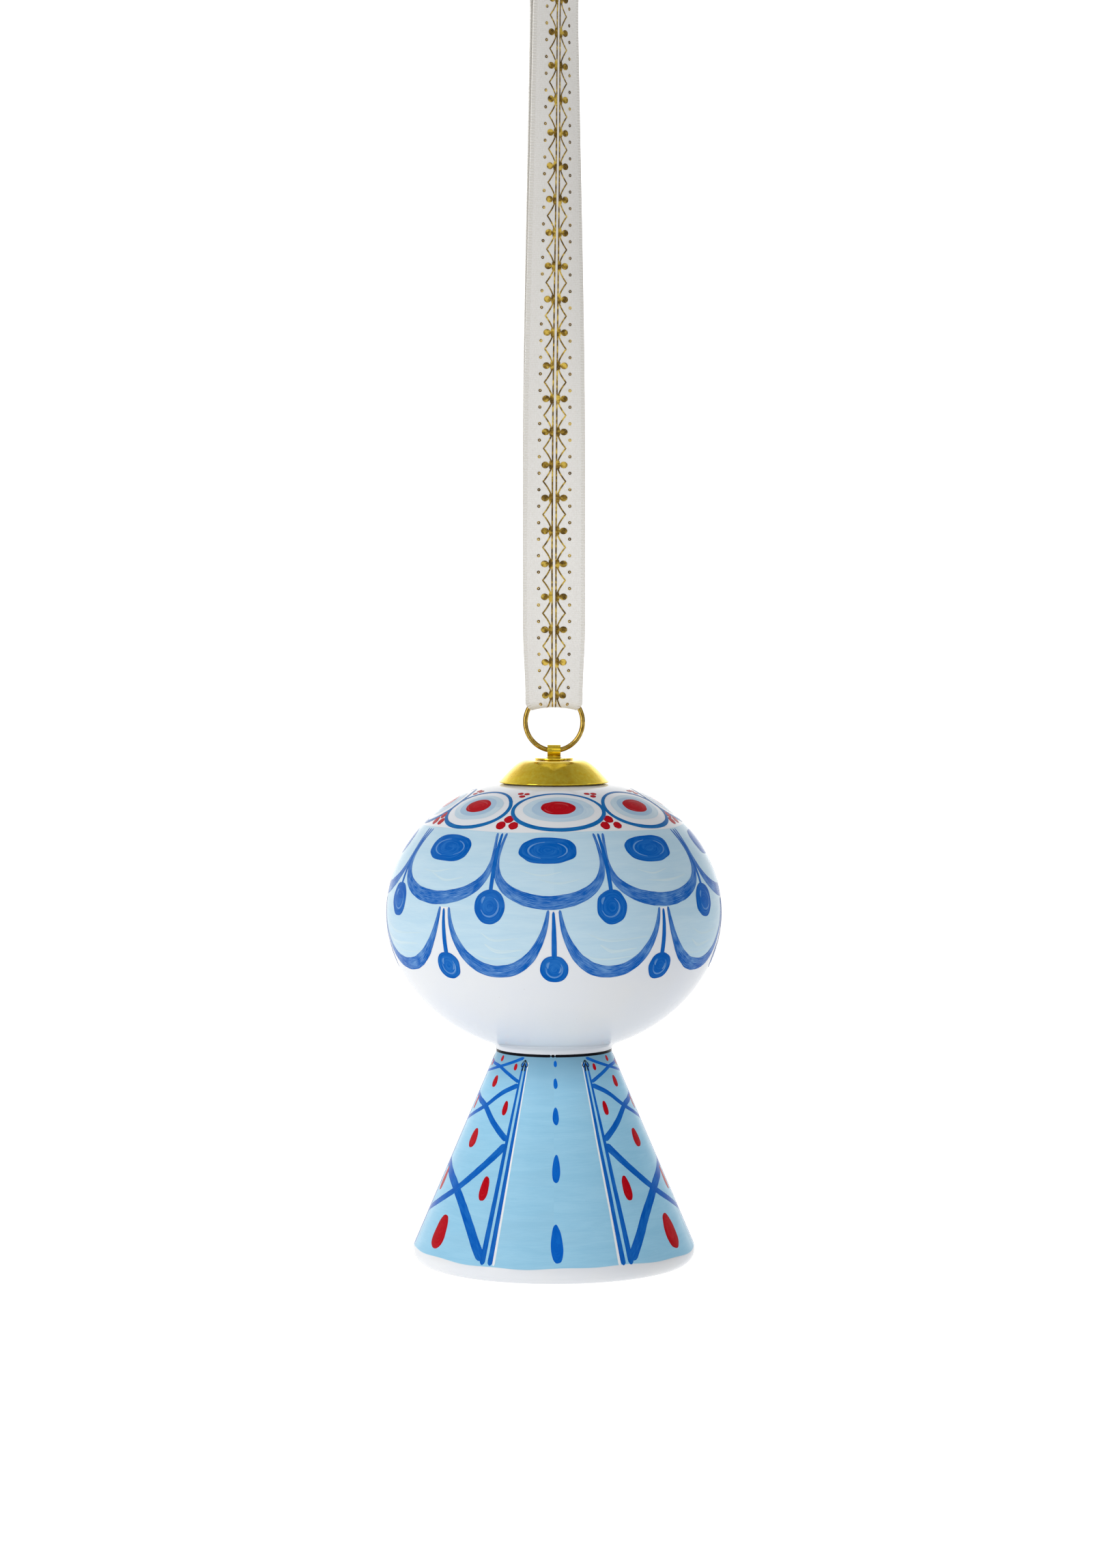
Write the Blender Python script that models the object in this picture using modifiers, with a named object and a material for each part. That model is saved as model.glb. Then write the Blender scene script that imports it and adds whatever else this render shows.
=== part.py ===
"""Porcelain bell ornament: a globe and cone bell under a gold cap, on a ring and a ribbon loop.

Lengths are in metres and +Z is up. The origin is the top of the ribbon loop, where it hangs.
Heights in the constants are counted from the centre of the globe, GLOBE_DROP below the origin.
"""

import math

import bmesh
import bpy
from mathutils import Matrix, Vector

GLOBE_DROP = 0.185

# Porcelain body
GLOBE_R = 0.028
GLOBE_HALF_HEIGHT = 0.0235
WALL = 0.0022
SEAT_Z = 0.0215
SEAT_R = 0.0077
INNER_TOP_Z = 0.0193
SHOULDER_R = 0.018
SHOULDER_DROP = 0.00072
SHOULDER_REACH = 0.0084
TOP_HOLE_R = 0.0036
GLOBE_END_R = 0.01075
NECK_ARC_R = 0.00135
NECK_ARC_X = 0.0110
NECK_ARC_Z = -0.0231
NECK_BORE_R = 0.0074
CONE_SLOPE = math.radians(23.1)
FOOT_ARC_R = 0.0021
FOOT_ARC_X = 0.02155
FOOT_ARC_Z = -0.0567
FOOT_INNER_R = 0.0203

# Cap and the fittings under it
CAP_TOP_Z = 0.02545
CAP_FLAT_R = 0.0052
CAP_RIM_R = 0.0092
CAP_RIM_Z = 0.0217
CAP_WALL = 0.0005
BOSS_R = 0.0032
BOSS_Z = (0.0255, 0.0258)
PLATE_R = 0.0052
PLATE_Z = (0.0216, 0.0220)
PLATE_HOLE_R = 0.00055

# Ring and the strap that wraps it
RING_R = 0.00478
RING_WIRE_R = 0.0004
RING_LOW_Z = 0.0270
RING_Z = RING_LOW_Z + RING_R
STRAP_HALF_WIDTH = 0.0011
STRAP_THICK = 0.00033
STRAP_LOOP_R = 0.00079
STRAP_LEG_Y = 0.00027
STRAP_TAB_Z = 0.02468
STRAP_TAB_Y = 0.0026
SLOT = (0.0026, 0.0011)

# Clapper
WIRE_R = 0.0004
HEAD_R = 0.0011
HEAD_Z = (0.0221, 0.0226)
EYE_R = 0.0013
EYE_LINK = 0.0009
CLAPPER_PIVOT_Z = -0.0200
BALL_R = 0.0060
BALL_Z = -0.0460
BALL_BORE_R = 0.00055
STOP_R = 0.0012
STOP_Z = (-0.0536, -0.0522)

# Ribbon
RIBBON_WIDTH = 0.0104
RIBBON_THICK = 0.0003
LAYER_GAP = 0.00035
FOLD_R = 0.00135
FOLD_Z = 0.0357
FOLD_HALF_WIDTH = 0.00475
FOLD_NECK = 0.0010
FOLD_DROOP = (0.0006, 0.0005)
RING_PIVOT_Z = 0.0343
TWIST = math.radians(50.0)
TWIST_FROM_Z = 0.060
LOOP_R = 0.0065
LOOP_FROM_Z = 0.148
CURL = math.radians(13.0)
CURL_Z = (0.070, 0.130, 0.152, 0.168)
STITCH_R = 0.00012
STITCH_Z = (0.1535, 0.1585)

COLOURS = {
    "ribbon_satin": ((0.91, 0.89, 0.84), 0.45, 0.0),
    "gold": ((0.90, 0.66, 0.25), 0.18, 1.0),
    "porcelain": ((0.90, 0.92, 0.93), 0.10, 0.0),
    "adhesive": ((0.86, 0.84, 0.78), 0.80, 0.0),
    "steel": ((0.72, 0.72, 0.70), 0.30, 1.0),
    "thread": ((0.93, 0.91, 0.86), 0.70, 0.0),
}


# Helpers


def clear_scene():
    for obj in list(bpy.data.objects):
        bpy.data.objects.remove(obj, do_unlink=True)


def new_collection(name, hidden=False):
    group = bpy.data.collections.new(name)
    bpy.context.scene.collection.children.link(group)
    group.hide_render = hidden
    return group


def make_materials():
    for name, (colour, roughness, metallic) in COLOURS.items():
        material = bpy.data.materials.new(name)
        material.use_nodes = True
        shader = material.node_tree.nodes["Principled BSDF"]
        shader.inputs["Base Color"].default_value = (*colour, 1.0)
        shader.inputs["Roughness"].default_value = roughness
        shader.inputs["Metallic"].default_value = metallic


def add_axis(name, height, parent=None):
    """An empty on a joint's axis, this high above the globe's centre."""
    empty = bpy.data.objects.new(name, None)
    PARTS.objects.link(empty)
    empty["height"] = height
    empty.parent = parent
    parent_height = parent["height"] if parent else GLOBE_DROP
    empty.location = (0.0, 0.0, height - parent_height)
    empty.empty_display_size = 0.005
    return empty


def add_piece(name, data, material, axis):
    """Puts shape data made around the globe's centre on a body's axis."""
    data.transform(Matrix.Translation((0.0, 0.0, -axis["height"])))
    obj = bpy.data.objects.new(name, data)
    PARTS.objects.link(obj)
    obj.parent = axis
    obj.data.materials.append(bpy.data.materials[material])
    return obj


def lines_mesh(name, points, closed):
    """A mesh of the edges from each point to the next."""
    mesh = bpy.data.meshes.new(name)
    edges = [(i, i + 1) for i in range(len(points) - 1)]
    if closed:
        edges.append((len(points) - 1, 0))
    mesh.from_pydata(points, edges, [])
    return mesh


def turned(name, profile, material, axis, steps=48, closed=True):
    """A profile of (radius, height), down its outer side and up its inner, turned about Z."""
    points = [(radius, 0.0, height) for radius, height in profile]
    obj = add_piece(name, lines_mesh(name, points, closed), material, axis)
    screw = obj.modifiers.new("turn", "SCREW")
    screw.steps = steps
    screw.render_steps = steps
    screw.use_merge_vertices = True
    screw.merge_threshold = 1e-5
    screw.use_smooth_shade = True
    return obj


def wire(name, points, radius, material, axis, sizes=None):
    """A round wire through the points; sizes are its radius at each, as a share of radius."""
    curve = bpy.data.curves.new(name, "CURVE")
    curve.dimensions = "3D"
    curve.bevel_depth = radius
    curve.bevel_resolution = 2
    curve.use_fill_caps = True
    spline = curve.splines.new("POLY")
    spline.points.add(len(points) - 1)
    for index, place in enumerate(points):
        spline.points[index].co = (*place, 1.0)
        spline.points[index].radius = sizes[index] if sizes else 1.0
    return add_piece(name, curve, material, axis)


def sheet(name, rows, thickness, material, axis, closed):
    """A strip through rows of points, made as thick as stated, half on each side."""
    mesh = bmesh.new()
    grid = [[mesh.verts.new(point) for point in row] for row in rows]
    pairs = list(zip(grid, grid[1:]))
    if closed:
        pairs.append((grid[-1], grid[0]))
    for lower, upper in pairs:
        for i in range(len(lower) - 1):
            mesh.faces.new((lower[i], lower[i + 1], upper[i + 1], upper[i]))
    data = bpy.data.meshes.new(name)
    mesh.to_mesh(data)
    mesh.free()
    data.shade_smooth()
    obj = add_piece(name, data, material, axis)
    solid = obj.modifiers.new("thickness", "SOLIDIFY")
    solid.thickness = thickness
    solid.offset = 0.0
    solid.use_even_offset = True
    return obj


def cut_slot(obj, height):
    """Cuts the strap's slot down through a turned piece."""
    bpy.ops.mesh.primitive_cube_add(size=1.0, location=(0.0, 0.0, height - GLOBE_DROP))
    cutter = bpy.context.object
    cutter.name = f"{obj.name}_slot"
    cutter.scale = (SLOT[0], SLOT[1], 0.004)
    bpy.ops.object.transform_apply(location=False, rotation=False, scale=True)
    for group in list(cutter.users_collection):
        group.objects.unlink(cutter)
    CUTTERS.objects.link(cutter)
    cutter.hide_render = True
    cutter.display_type = "WIRE"
    cut = obj.modifiers.new("slot", "BOOLEAN")
    cut.operation = "DIFFERENCE"
    cut.object = cutter


def arc(centre, radius, start, end, count):
    """Points on a circle in the profile's plane, from one angle to the other in degrees."""
    angles = [math.radians(start + (end - start) * i / count) for i in range(count + 1)]
    return [
        (centre[0] + radius * math.cos(angle), centre[1] + radius * math.sin(angle))
        for angle in angles
    ]


def bowed(start, end, bow, count):
    """Points from start to end on a shallow curve that stands off the chord by bow."""
    along = Vector(end) - Vector(start)
    across = Vector((-along.y, along.x)).normalized()
    points = []
    for i in range(count + 1):
        share = i / count
        point = Vector(start) + along * share + across * (4.0 * bow * share * (1.0 - share))
        points.append(tuple(point))
    return points


def ease(low, high, value):
    """0 below low, 1 above high, and an even S between."""
    share = min(max((value - low) / (high - low), 0.0), 1.0)
    return share * share * (3.0 - 2.0 * share)


# Porcelain


def ellipse(radius, half_height, start_r, end_r, count):
    """Points down an upright ellipse, from start_r above its middle to end_r below it."""
    start = math.acos(start_r / radius)
    end = -math.acos(end_r / radius)
    angles = [start + (end - start) * i / count for i in range(count + 1)]
    return [(radius * math.cos(a), half_height * math.sin(a)) for a in angles]


def lower_shoulder(points, top):
    """Sinks an ellipse's points towards its axis, down to a flat top, as the fired globe is."""
    sunk = []
    for radius, height in points:
        reach = max(SHOULDER_R - radius, 0.0) / SHOULDER_REACH
        if height > 0.0:
            height = min(height - SHOULDER_DROP * reach * reach, top)
        sunk.append((radius, height))
    return sunk


def body_profile():
    tilt = math.degrees(CONE_SLOPE)
    outside = [(TOP_HOLE_R, SEAT_Z)]
    globe = ellipse(GLOBE_R, GLOBE_HALF_HEIGHT, SEAT_R, GLOBE_END_R, 18)
    outside += lower_shoulder(globe, SEAT_Z)
    outside += arc((NECK_ARC_X, NECK_ARC_Z), NECK_ARC_R, 105.0, 180.0 + tilt, 4)
    outside += arc((FOOT_ARC_X, FOOT_ARC_Z), FOOT_ARC_R, tilt, -90.0, 5)
    wall_x = WALL * math.cos(CONE_SLOPE)
    wall_z = WALL * math.sin(CONE_SLOPE)
    cone_low = (FOOT_ARC_X + (FOOT_ARC_R - WALL) * math.cos(CONE_SLOPE), FOOT_ARC_Z)
    cone_high = (NECK_BORE_R, NECK_ARC_Z - NECK_ARC_R - wall_z + wall_x * 0.1)
    inside = [(FOOT_INNER_R, FOOT_ARC_Z - FOOT_ARC_R), cone_low, cone_high]
    bore = ellipse(GLOBE_R - WALL, GLOBE_HALF_HEIGHT - WALL, TOP_HOLE_R, NECK_BORE_R + WALL / 4, 12)
    inside += [(NECK_BORE_R, bore[-1][1] - WALL / 4)]
    inside += reversed(lower_shoulder(bore, INNER_TOP_Z))
    return outside + inside


def make_porcelain(axis):
    turned("porcelain_body", body_profile(), "porcelain", axis)


# Cap, washer, cement and retaining plate


def make_cap(axis):
    rim = (CAP_RIM_R, CAP_RIM_Z)
    shoulder = (CAP_FLAT_R + 0.0004, CAP_TOP_Z - 0.0002)
    outside = [(0.0, CAP_TOP_Z), (CAP_FLAT_R, CAP_TOP_Z)]
    outside += bowed(shoulder, rim, 0.00022, 5)
    inner_rim = (CAP_RIM_R - CAP_WALL, CAP_RIM_Z + 0.0001)
    inner_shoulder = (CAP_FLAT_R, CAP_TOP_Z - CAP_WALL - 0.0001)
    inside = bowed(inner_rim, inner_shoulder, -0.00022, 5)
    inside += [(CAP_FLAT_R - 0.0003, CAP_TOP_Z - CAP_WALL), (0.0, CAP_TOP_Z - CAP_WALL)]
    cap = turned("cap", outside + inside, "gold", axis, closed=False)
    cut_slot(cap, CAP_TOP_Z)


def make_boss(axis):
    low, high = BOSS_Z
    edge = 0.00015
    profile = [(0.0, high), (BOSS_R - edge, high), (BOSS_R, high - edge), (BOSS_R, low), (0.0, low)]
    boss = turned("boss_washer", profile, "gold", axis, steps=32, closed=False)
    cut_slot(boss, high)


def make_cement(axis):
    profile = [
        (0.0055, 0.0244),
        (0.0061, 0.0238),
        (0.0076, 0.0225),
        (0.0076, 0.02165),
        (0.0055, 0.02165),
    ]
    turned("cement_ring", profile, "adhesive", axis, steps=32)


def make_plate(axis):
    low, high = PLATE_Z
    profile = [(PLATE_HOLE_R, high), (PLATE_R, high), (PLATE_R, low), (PLATE_HOLE_R, low)]
    turned("retaining_plate", profile, "steel", axis, steps=32)


# Ring and strap


def make_ring(axis):
    bpy.ops.mesh.primitive_torus_add(
        major_radius=RING_R,
        minor_radius=RING_WIRE_R,
        major_segments=48,
        minor_segments=10,
    )
    torus = bpy.context.object
    mesh = torus.data.copy()
    bpy.data.objects.remove(torus, do_unlink=True)
    mesh.transform(Matrix.Translation((0.0, 0.0, RING_Z)) @ Matrix.Rotation(math.pi / 2, 4, "X"))
    mesh.shade_smooth()
    add_piece("hanging_ring", mesh, "gold", axis)


def strap_path():
    """The strap seen from its side, (y, z): tab, leg, round the ring's wire, leg, tab."""
    gap = math.asin(STRAP_LEG_Y / STRAP_LOOP_R)
    loop_low = -90.0 + math.degrees(gap)
    half = [(STRAP_TAB_Y, STRAP_TAB_Z)]
    half += [(STRAP_LEG_Y + 0.00045, STRAP_TAB_Z), (STRAP_LEG_Y + 0.00012, STRAP_TAB_Z + 0.00012)]
    half += [(STRAP_LEG_Y, STRAP_TAB_Z + 0.00045)]
    half += arc((0.0, RING_LOW_Z), STRAP_LOOP_R, loop_low, 90.0, 8)
    mirrored = [(-y, z) for y, z in reversed(half[:-1])]
    return half + mirrored


def make_strap(axis):
    rows = [[(-STRAP_HALF_WIDTH, y, z), (STRAP_HALF_WIDTH, y, z)] for y, z in strap_path()]
    sheet("strap_eye", rows, STRAP_THICK, "gold", axis, closed=False)


# Clapper and its hanger


def eye_points(centre_z, plane, start, end, count=14):
    """Points round a wire eye in the XZ or the YZ plane, between two angles in degrees."""
    points = []
    for across, height in arc((0.0, centre_z), EYE_R, start, end, count):
        points.append((across, 0.0, height) if plane == "XZ" else (0.0, across, height))
    return points


def make_hanger(axis):
    centre = CLAPPER_PIVOT_Z + EYE_R
    low, high = HEAD_Z
    bevel = 0.00008
    shank = [(0.0, 0.0, high), (0.0, 0.0, high - bevel), (0.0, 0.0, low + bevel), (0.0, 0.0, low)]
    head_share = HEAD_R / WIRE_R
    sizes = [head_share * 0.8, head_share, head_share, 1.0]
    shank.append((0.0, 0.0, centre + EYE_R + WIRE_R))
    points = shank + eye_points(centre, "XZ", 118.0, 405.0)
    sizes += [1.0] * (len(points) - len(sizes))
    wire("hanger_wire", points, WIRE_R, "steel", axis, sizes)


def make_clapper(axis):
    centre = CLAPPER_PIVOT_Z + EYE_LINK - EYE_R
    low_end = (0.0, 0.0, STOP_Z[0] + 0.0002)
    shank_top = (0.0, 0.0, centre - EYE_R - WIRE_R)
    points = [low_end, shank_top] + eye_points(centre, "YZ", -118.0, -405.0)
    wire("clapper_wire", points, WIRE_R, "steel", axis)
    start = math.degrees(math.acos(BALL_BORE_R / BALL_R))
    turned("clapper_ball", arc((0.0, BALL_Z), BALL_R, start, -start, 16), "porcelain", axis, steps=28)
    low, high = STOP_Z
    edge = 0.0002
    stop = [
        (BALL_BORE_R, high),
        (STOP_R - edge, high),
        (STOP_R, high - edge),
        (STOP_R, low + edge),
        (STOP_R - edge, low),
        (BALL_BORE_R, low),
    ]
    turned("clapper_stop", stop, "steel", axis, steps=16)


# Ribbon


def ribbon_twist(height):
    share = min(max((height - TWIST_FROM_Z) / (GLOBE_DROP - TWIST_FROM_Z), 0.0), 1.0)
    return TWIST * math.sin(share * math.pi / 2)


def ribbon_curl(height):
    return CURL * ease(CURL_Z[0], CURL_Z[1], height) * (1.0 - ease(CURL_Z[2], CURL_Z[3], height))


def ribbon_point(off, height, share, half_width, droop):
    """A point of the ribbon: off to the front of its middle plane, at a share of its half width."""
    twist = ribbon_twist(height)
    curl = max(ribbon_curl(height), 1e-4)
    radius = half_width / curl
    across = radius * math.sin(curl * share)
    off += radius * (math.cos(curl * share) - math.cos(curl))
    return (
        across * math.cos(twist) + off * math.sin(twist),
        across * math.sin(twist) - off * math.cos(twist),
        height - droop * share * share,
    )


def fold_row(angle):
    """The ribbon's turn under the ring's top: 0 degrees in front, 90 below, 180 behind."""
    bend = math.radians(angle)
    return (
        FOLD_R * math.cos(bend),
        FOLD_Z - FOLD_R * math.sin(bend),
        FOLD_HALF_WIDTH - FOLD_NECK * math.sin(bend) ** 2,
        FOLD_DROOP[0] + (FOLD_DROOP[1] - FOLD_DROOP[0]) * math.sin(bend) ** 2,
    )


def layer_row(height):
    """(off, height, half width, droop) of the front layer above the fold."""
    tangent = math.asin(LOOP_R / (loop_centre() - LOOP_FROM_Z))
    loop_off = LOOP_R * math.cos(tangent)
    closing = ease(FOLD_Z + 0.0018, FOLD_Z + 0.0085, height)
    off = FOLD_R + (LAYER_GAP - FOLD_R) * closing
    share = max(height - LOOP_FROM_Z, 0.0) / (loop_start_z() - LOOP_FROM_Z)
    off += (loop_off - LAYER_GAP) * share * share * (2.0 - share)
    wide = ease(FOLD_Z, FOLD_Z + 0.012, height)
    half_width = FOLD_HALF_WIDTH + (RIBBON_WIDTH / 2 - FOLD_HALF_WIDTH) * wide
    droop = FOLD_DROOP[0] * (1.0 - ease(FOLD_Z, FOLD_Z + 0.008, height))
    return off, height, half_width, droop


def loop_centre():
    return GLOBE_DROP - RIBBON_THICK / 2 - LOOP_R


def loop_start_z():
    return loop_centre() - LOOP_R * LOOP_R / (loop_centre() - LOOP_FROM_Z)


def layer_heights():
    """Heights of the rows between the fold and the loop, closer where the ribbon bends."""
    near_fold = [FOLD_Z + 0.0095 * i / 8 for i in range(1, 9)]
    straight = [0.045 + (LOOP_FROM_Z - 0.045) * i / 16 for i in range(1, 17)]
    near_loop = [LOOP_FROM_Z + (loop_start_z() - LOOP_FROM_Z) * i / 6 for i in range(1, 6)]
    return near_fold + straight + near_loop


def ribbon_stations():
    """(off, height, half width, droop) of each row, up the back, over the loop, down the front."""
    fold = [fold_row(180.0 * i / 10) for i in range(11)]
    front = [layer_row(height) for height in layer_heights()]
    back = [(-off, height, half_width, droop) for off, height, half_width, droop in front]
    tangent = math.degrees(math.asin(LOOP_R / (loop_centre() - LOOP_FROM_Z)))
    half_width = RIBBON_WIDTH / 2
    loop = []
    for off, height in arc((0.0, loop_centre()), LOOP_R, 180.0 + tangent, -tangent, 14):
        loop.append((off, height, half_width, 0.0))
    return fold + back + loop + front[::-1]


def make_ribbon(axis):
    shares = [i / 3 for i in range(-3, 4)]
    rows = []
    for off, height, half_width, droop in ribbon_stations():
        rows.append([ribbon_point(off, height, t, half_width, droop) for t in shares])
    sheet("ribbon", rows, RIBBON_THICK, "ribbon_satin", axis, closed=True)


def make_stitch(axis):
    """The zigzag thread that closes the ribbon where its ends lap, on the back layer."""
    clear = RIBBON_THICK / 2 + STITCH_R + 0.00008
    points = []
    for i in range(15):
        height = STITCH_Z[i % 2]
        off, _, half_width, _ = layer_row(height)
        share = 0.84 * (i / 7 - 1.0)
        points.append(ribbon_point(-off - clear, height, share, half_width, 0.0))
    wire("lap_stitch", points, STITCH_R, "thread", axis)


clear_scene()
make_materials()
PARTS = new_collection("porcelain_bell")
CUTTERS = new_collection("cutters", hidden=True)
ribbon_axis = add_axis("hanging_point", GLOBE_DROP)
ring_axis = add_axis("ring_swing_axis", RING_PIVOT_Z, ribbon_axis)
bell_axis = add_axis("bell_swing_axis", RING_LOW_Z, ring_axis)
hanger_axis = add_axis("clapper_swivel_axis", PLATE_Z[1], bell_axis)
clapper_axis = add_axis("clapper_swing_axis", CLAPPER_PIVOT_Z, hanger_axis)
make_ribbon(ribbon_axis)
make_stitch(ribbon_axis)
make_ring(ring_axis)
make_strap(bell_axis)
make_boss(bell_axis)
make_cap(bell_axis)
make_cement(bell_axis)
make_plate(bell_axis)
make_porcelain(bell_axis)
make_hanger(hanger_axis)
make_clapper(clapper_axis)
bpy.context.view_layer.update()
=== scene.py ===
"""Looks of the porcelain bell ornament: glaze, painted decoration, gold fittings, printed ribbon.

Lengths are in metres. Heights named *_Z are above the globe's centre, which CENTRE_Z places in
the frame. On the globe a place is (theta, latitude) in degrees, on the skirt (theta, height);
theta is 0 towards the viewer and grows to the viewer's right.
"""

import bisect
import collections
import math
import random

import bmesh
import bpy
from mathutils import Matrix, Vector, noise


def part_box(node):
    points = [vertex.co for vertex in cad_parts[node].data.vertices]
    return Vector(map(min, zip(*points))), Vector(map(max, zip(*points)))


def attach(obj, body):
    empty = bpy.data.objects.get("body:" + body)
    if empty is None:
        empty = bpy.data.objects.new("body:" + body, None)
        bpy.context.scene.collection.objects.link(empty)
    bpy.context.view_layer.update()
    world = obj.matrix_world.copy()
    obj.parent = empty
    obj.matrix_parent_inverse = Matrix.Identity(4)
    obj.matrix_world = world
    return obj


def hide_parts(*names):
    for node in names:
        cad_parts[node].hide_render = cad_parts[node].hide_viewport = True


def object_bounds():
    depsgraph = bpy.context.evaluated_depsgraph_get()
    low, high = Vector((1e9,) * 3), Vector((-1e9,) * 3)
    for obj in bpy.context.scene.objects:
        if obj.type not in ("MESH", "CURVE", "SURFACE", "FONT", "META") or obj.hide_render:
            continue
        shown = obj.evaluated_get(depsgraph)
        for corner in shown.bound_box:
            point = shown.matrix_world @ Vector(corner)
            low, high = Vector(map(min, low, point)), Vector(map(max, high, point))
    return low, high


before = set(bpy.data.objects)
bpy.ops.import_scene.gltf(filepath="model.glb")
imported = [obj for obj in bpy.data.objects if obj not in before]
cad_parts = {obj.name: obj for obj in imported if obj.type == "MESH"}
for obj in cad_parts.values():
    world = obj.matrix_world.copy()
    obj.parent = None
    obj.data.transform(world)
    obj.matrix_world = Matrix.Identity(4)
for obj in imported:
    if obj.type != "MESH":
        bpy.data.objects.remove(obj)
CAD_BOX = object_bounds()

# Sizes that follow the CAD part

DROP = 0.185
FOOT_Z = -0.0588
CENTRE_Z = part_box("porcelain_body")[0][2] - FOOT_Z

GLOBE_R = 0.028
GLOBE_HALF = 0.0235
WALL = 0.0022
SEAT_Z = 0.0215
SEAT_R = 0.0077
INNER_TOP_Z = 0.0193
SHOULDER_R = 0.018
SHOULDER_DROP = 0.00072
SHOULDER_REACH = 0.0084
TOP_HOLE_R = 0.0036
GLOBE_END_R = 0.01075
NECK_ARC = (0.0110, -0.0231, 0.00135)
NECK_BORE_R = 0.0074
FOOT_ARC = (0.02155, -0.0567, 0.0021)
FOOT_INNER_R = 0.0203
CONE_TILT = math.radians(23.1)

RING_R = 0.00478
RING_WIRE_R = 0.0004
RING_LOW_Z = 0.0270

RIBBON_WIDTH = 0.0104
RIBBON_THICK = 0.0003
LAYER_GAP = 0.00035
FOLD_R = 0.00135
FOLD_Z = 0.0357
FOLD_HALF_WIDTH = 0.00475
FOLD_NECK = 0.0010
FOLD_DROOP = (0.0006, 0.0005)
# How far above the fold the two layers close up, reach full width and lie flat
CLOSING = (0.0018, 0.0085)
WIDENING = 0.012
FLATTENING = 0.008
LOOP_R = 0.0065
LOOP_FROM_Z = 0.148
TWIST = math.radians(50.0)
TWIST_FROM_Z = 0.060
CURL = math.radians(13.0)
CURL_Z = (0.070, 0.130, 0.152, 0.168)

# Painted pattern: eight repeats round the globe, set one by one as a brush would

MEDALLIONS = (2.4, 50.8, 95.0, 139.5, 184.0, 228.5, 272.0, 314.1)
FANS = (-22.3, 18.8, 62.8, 108.0, 153.0, 198.0, 244.0, 293.5)
PENDANTS = (0.0, 39.6, 84.0, 131.0, 178.0, 225.0, 272.0, 320.4)
BAND_LAT = 39.2
SWAG_LOW_LAT = 10.1
ROW_TWO_LAT = 6.8
ROW_TWO_LOW_LAT = -18.3
ROW_TWO_INSET = 1.9
BALL_LAT = 7.8
PENDANT_LAT = -16.9
OVAL_LAT = 31.0
OVAL_SHIFT = -0.6
MEDALLION_LAT = 51.3
MEDALLION_TALL = 10.9
OUTLINE_STEPS = 24
OUTLINE_START = 0.4
PANEL_THETAS = (1.2, 121.2, 241.2)
SKIRT_TOP_Z = -0.0230
SKIRT_WASH_Z = -0.0560

# Skins: how far the lowest one stands off, the step between levels, and how deep edges root
PAINT_LIFT = 0.000016
PAINT_STEP = 0.000008
ROOT_DEPTH = 1.7
FOIL_LIFT = 0.000016
FOIL_STEP = 0.000004

# Millimetres per metre, for the streaks of the brush and the ribbon's weave
MM = 1000.0
SHARP_ANGLE = math.radians(50.0)

random.seed(11)


# Colour and node helpers


def linear(red, green, blue):
    """An sRGB colour of 0 to 255 as linear light."""
    return tuple(((c / 255.0 + 0.055) / 1.055) ** 2.4 for c in (red, green, blue))


class Tree:
    """A node tree under construction, with short calls for the nodes it uses."""

    def __init__(self, owner, shader):
        owner.use_nodes = True
        self.tree = owner.node_tree
        self.shader = self.tree.nodes[shader]

    def add(self, kind, **settings):
        node = self.tree.nodes.new(kind)
        for key, value in settings.items():
            setattr(node, key, value)
        return node

    def link(self, output, socket):
        self.tree.links.new(output, socket)

    def set(self, **values):
        for key, value in values.items():
            self.shader.inputs[key.replace("_", " ")].default_value = value

    def split(self, vector):
        node = self.add("ShaderNodeSeparateXYZ")
        self.link(vector, node.inputs[0])
        return node.outputs

    def remap(self, value, start=(0.0, 1.0), end=(0.0, 1.0), kind="LINEAR"):
        node = self.add("ShaderNodeMapRange", interpolation_type=kind)
        for side, (given, wanted) in zip(("Min", "Max"), zip(start, end)):
            node.inputs["From " + side].default_value = given
            node.inputs["To " + side].default_value = wanted
        self.link(value, node.inputs["Value"])
        return node.outputs["Result"]

    def ramp(self, factor, stops):
        """A colour ramp; each stop is (position, linear colour or grey)."""
        node = self.add("ShaderNodeValToRGB")
        elements = node.color_ramp.elements
        while len(elements) < len(stops):
            elements.new(0.5)
        for element, (position, colour) in zip(elements, stops):
            grey = isinstance(colour, float)
            element.position = position
            element.color = (colour,) * 3 + (1.0,) if grey else (*colour, 1.0)
        self.link(factor, node.inputs["Fac"])
        return node.outputs["Color"]

    def mix(self, factor, first, second, blend="MIX"):
        node = self.add("ShaderNodeMix", data_type="RGBA", blend_type=blend)
        for socket, value in zip((0, 6, 7), (factor, first, second)):
            if isinstance(value, bpy.types.NodeSocket):
                self.link(value, node.inputs[socket])
            elif socket == 0:
                node.inputs[0].default_value = value
            else:
                node.inputs[socket].default_value = (*value, 1.0)
        return node.outputs[2]


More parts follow.
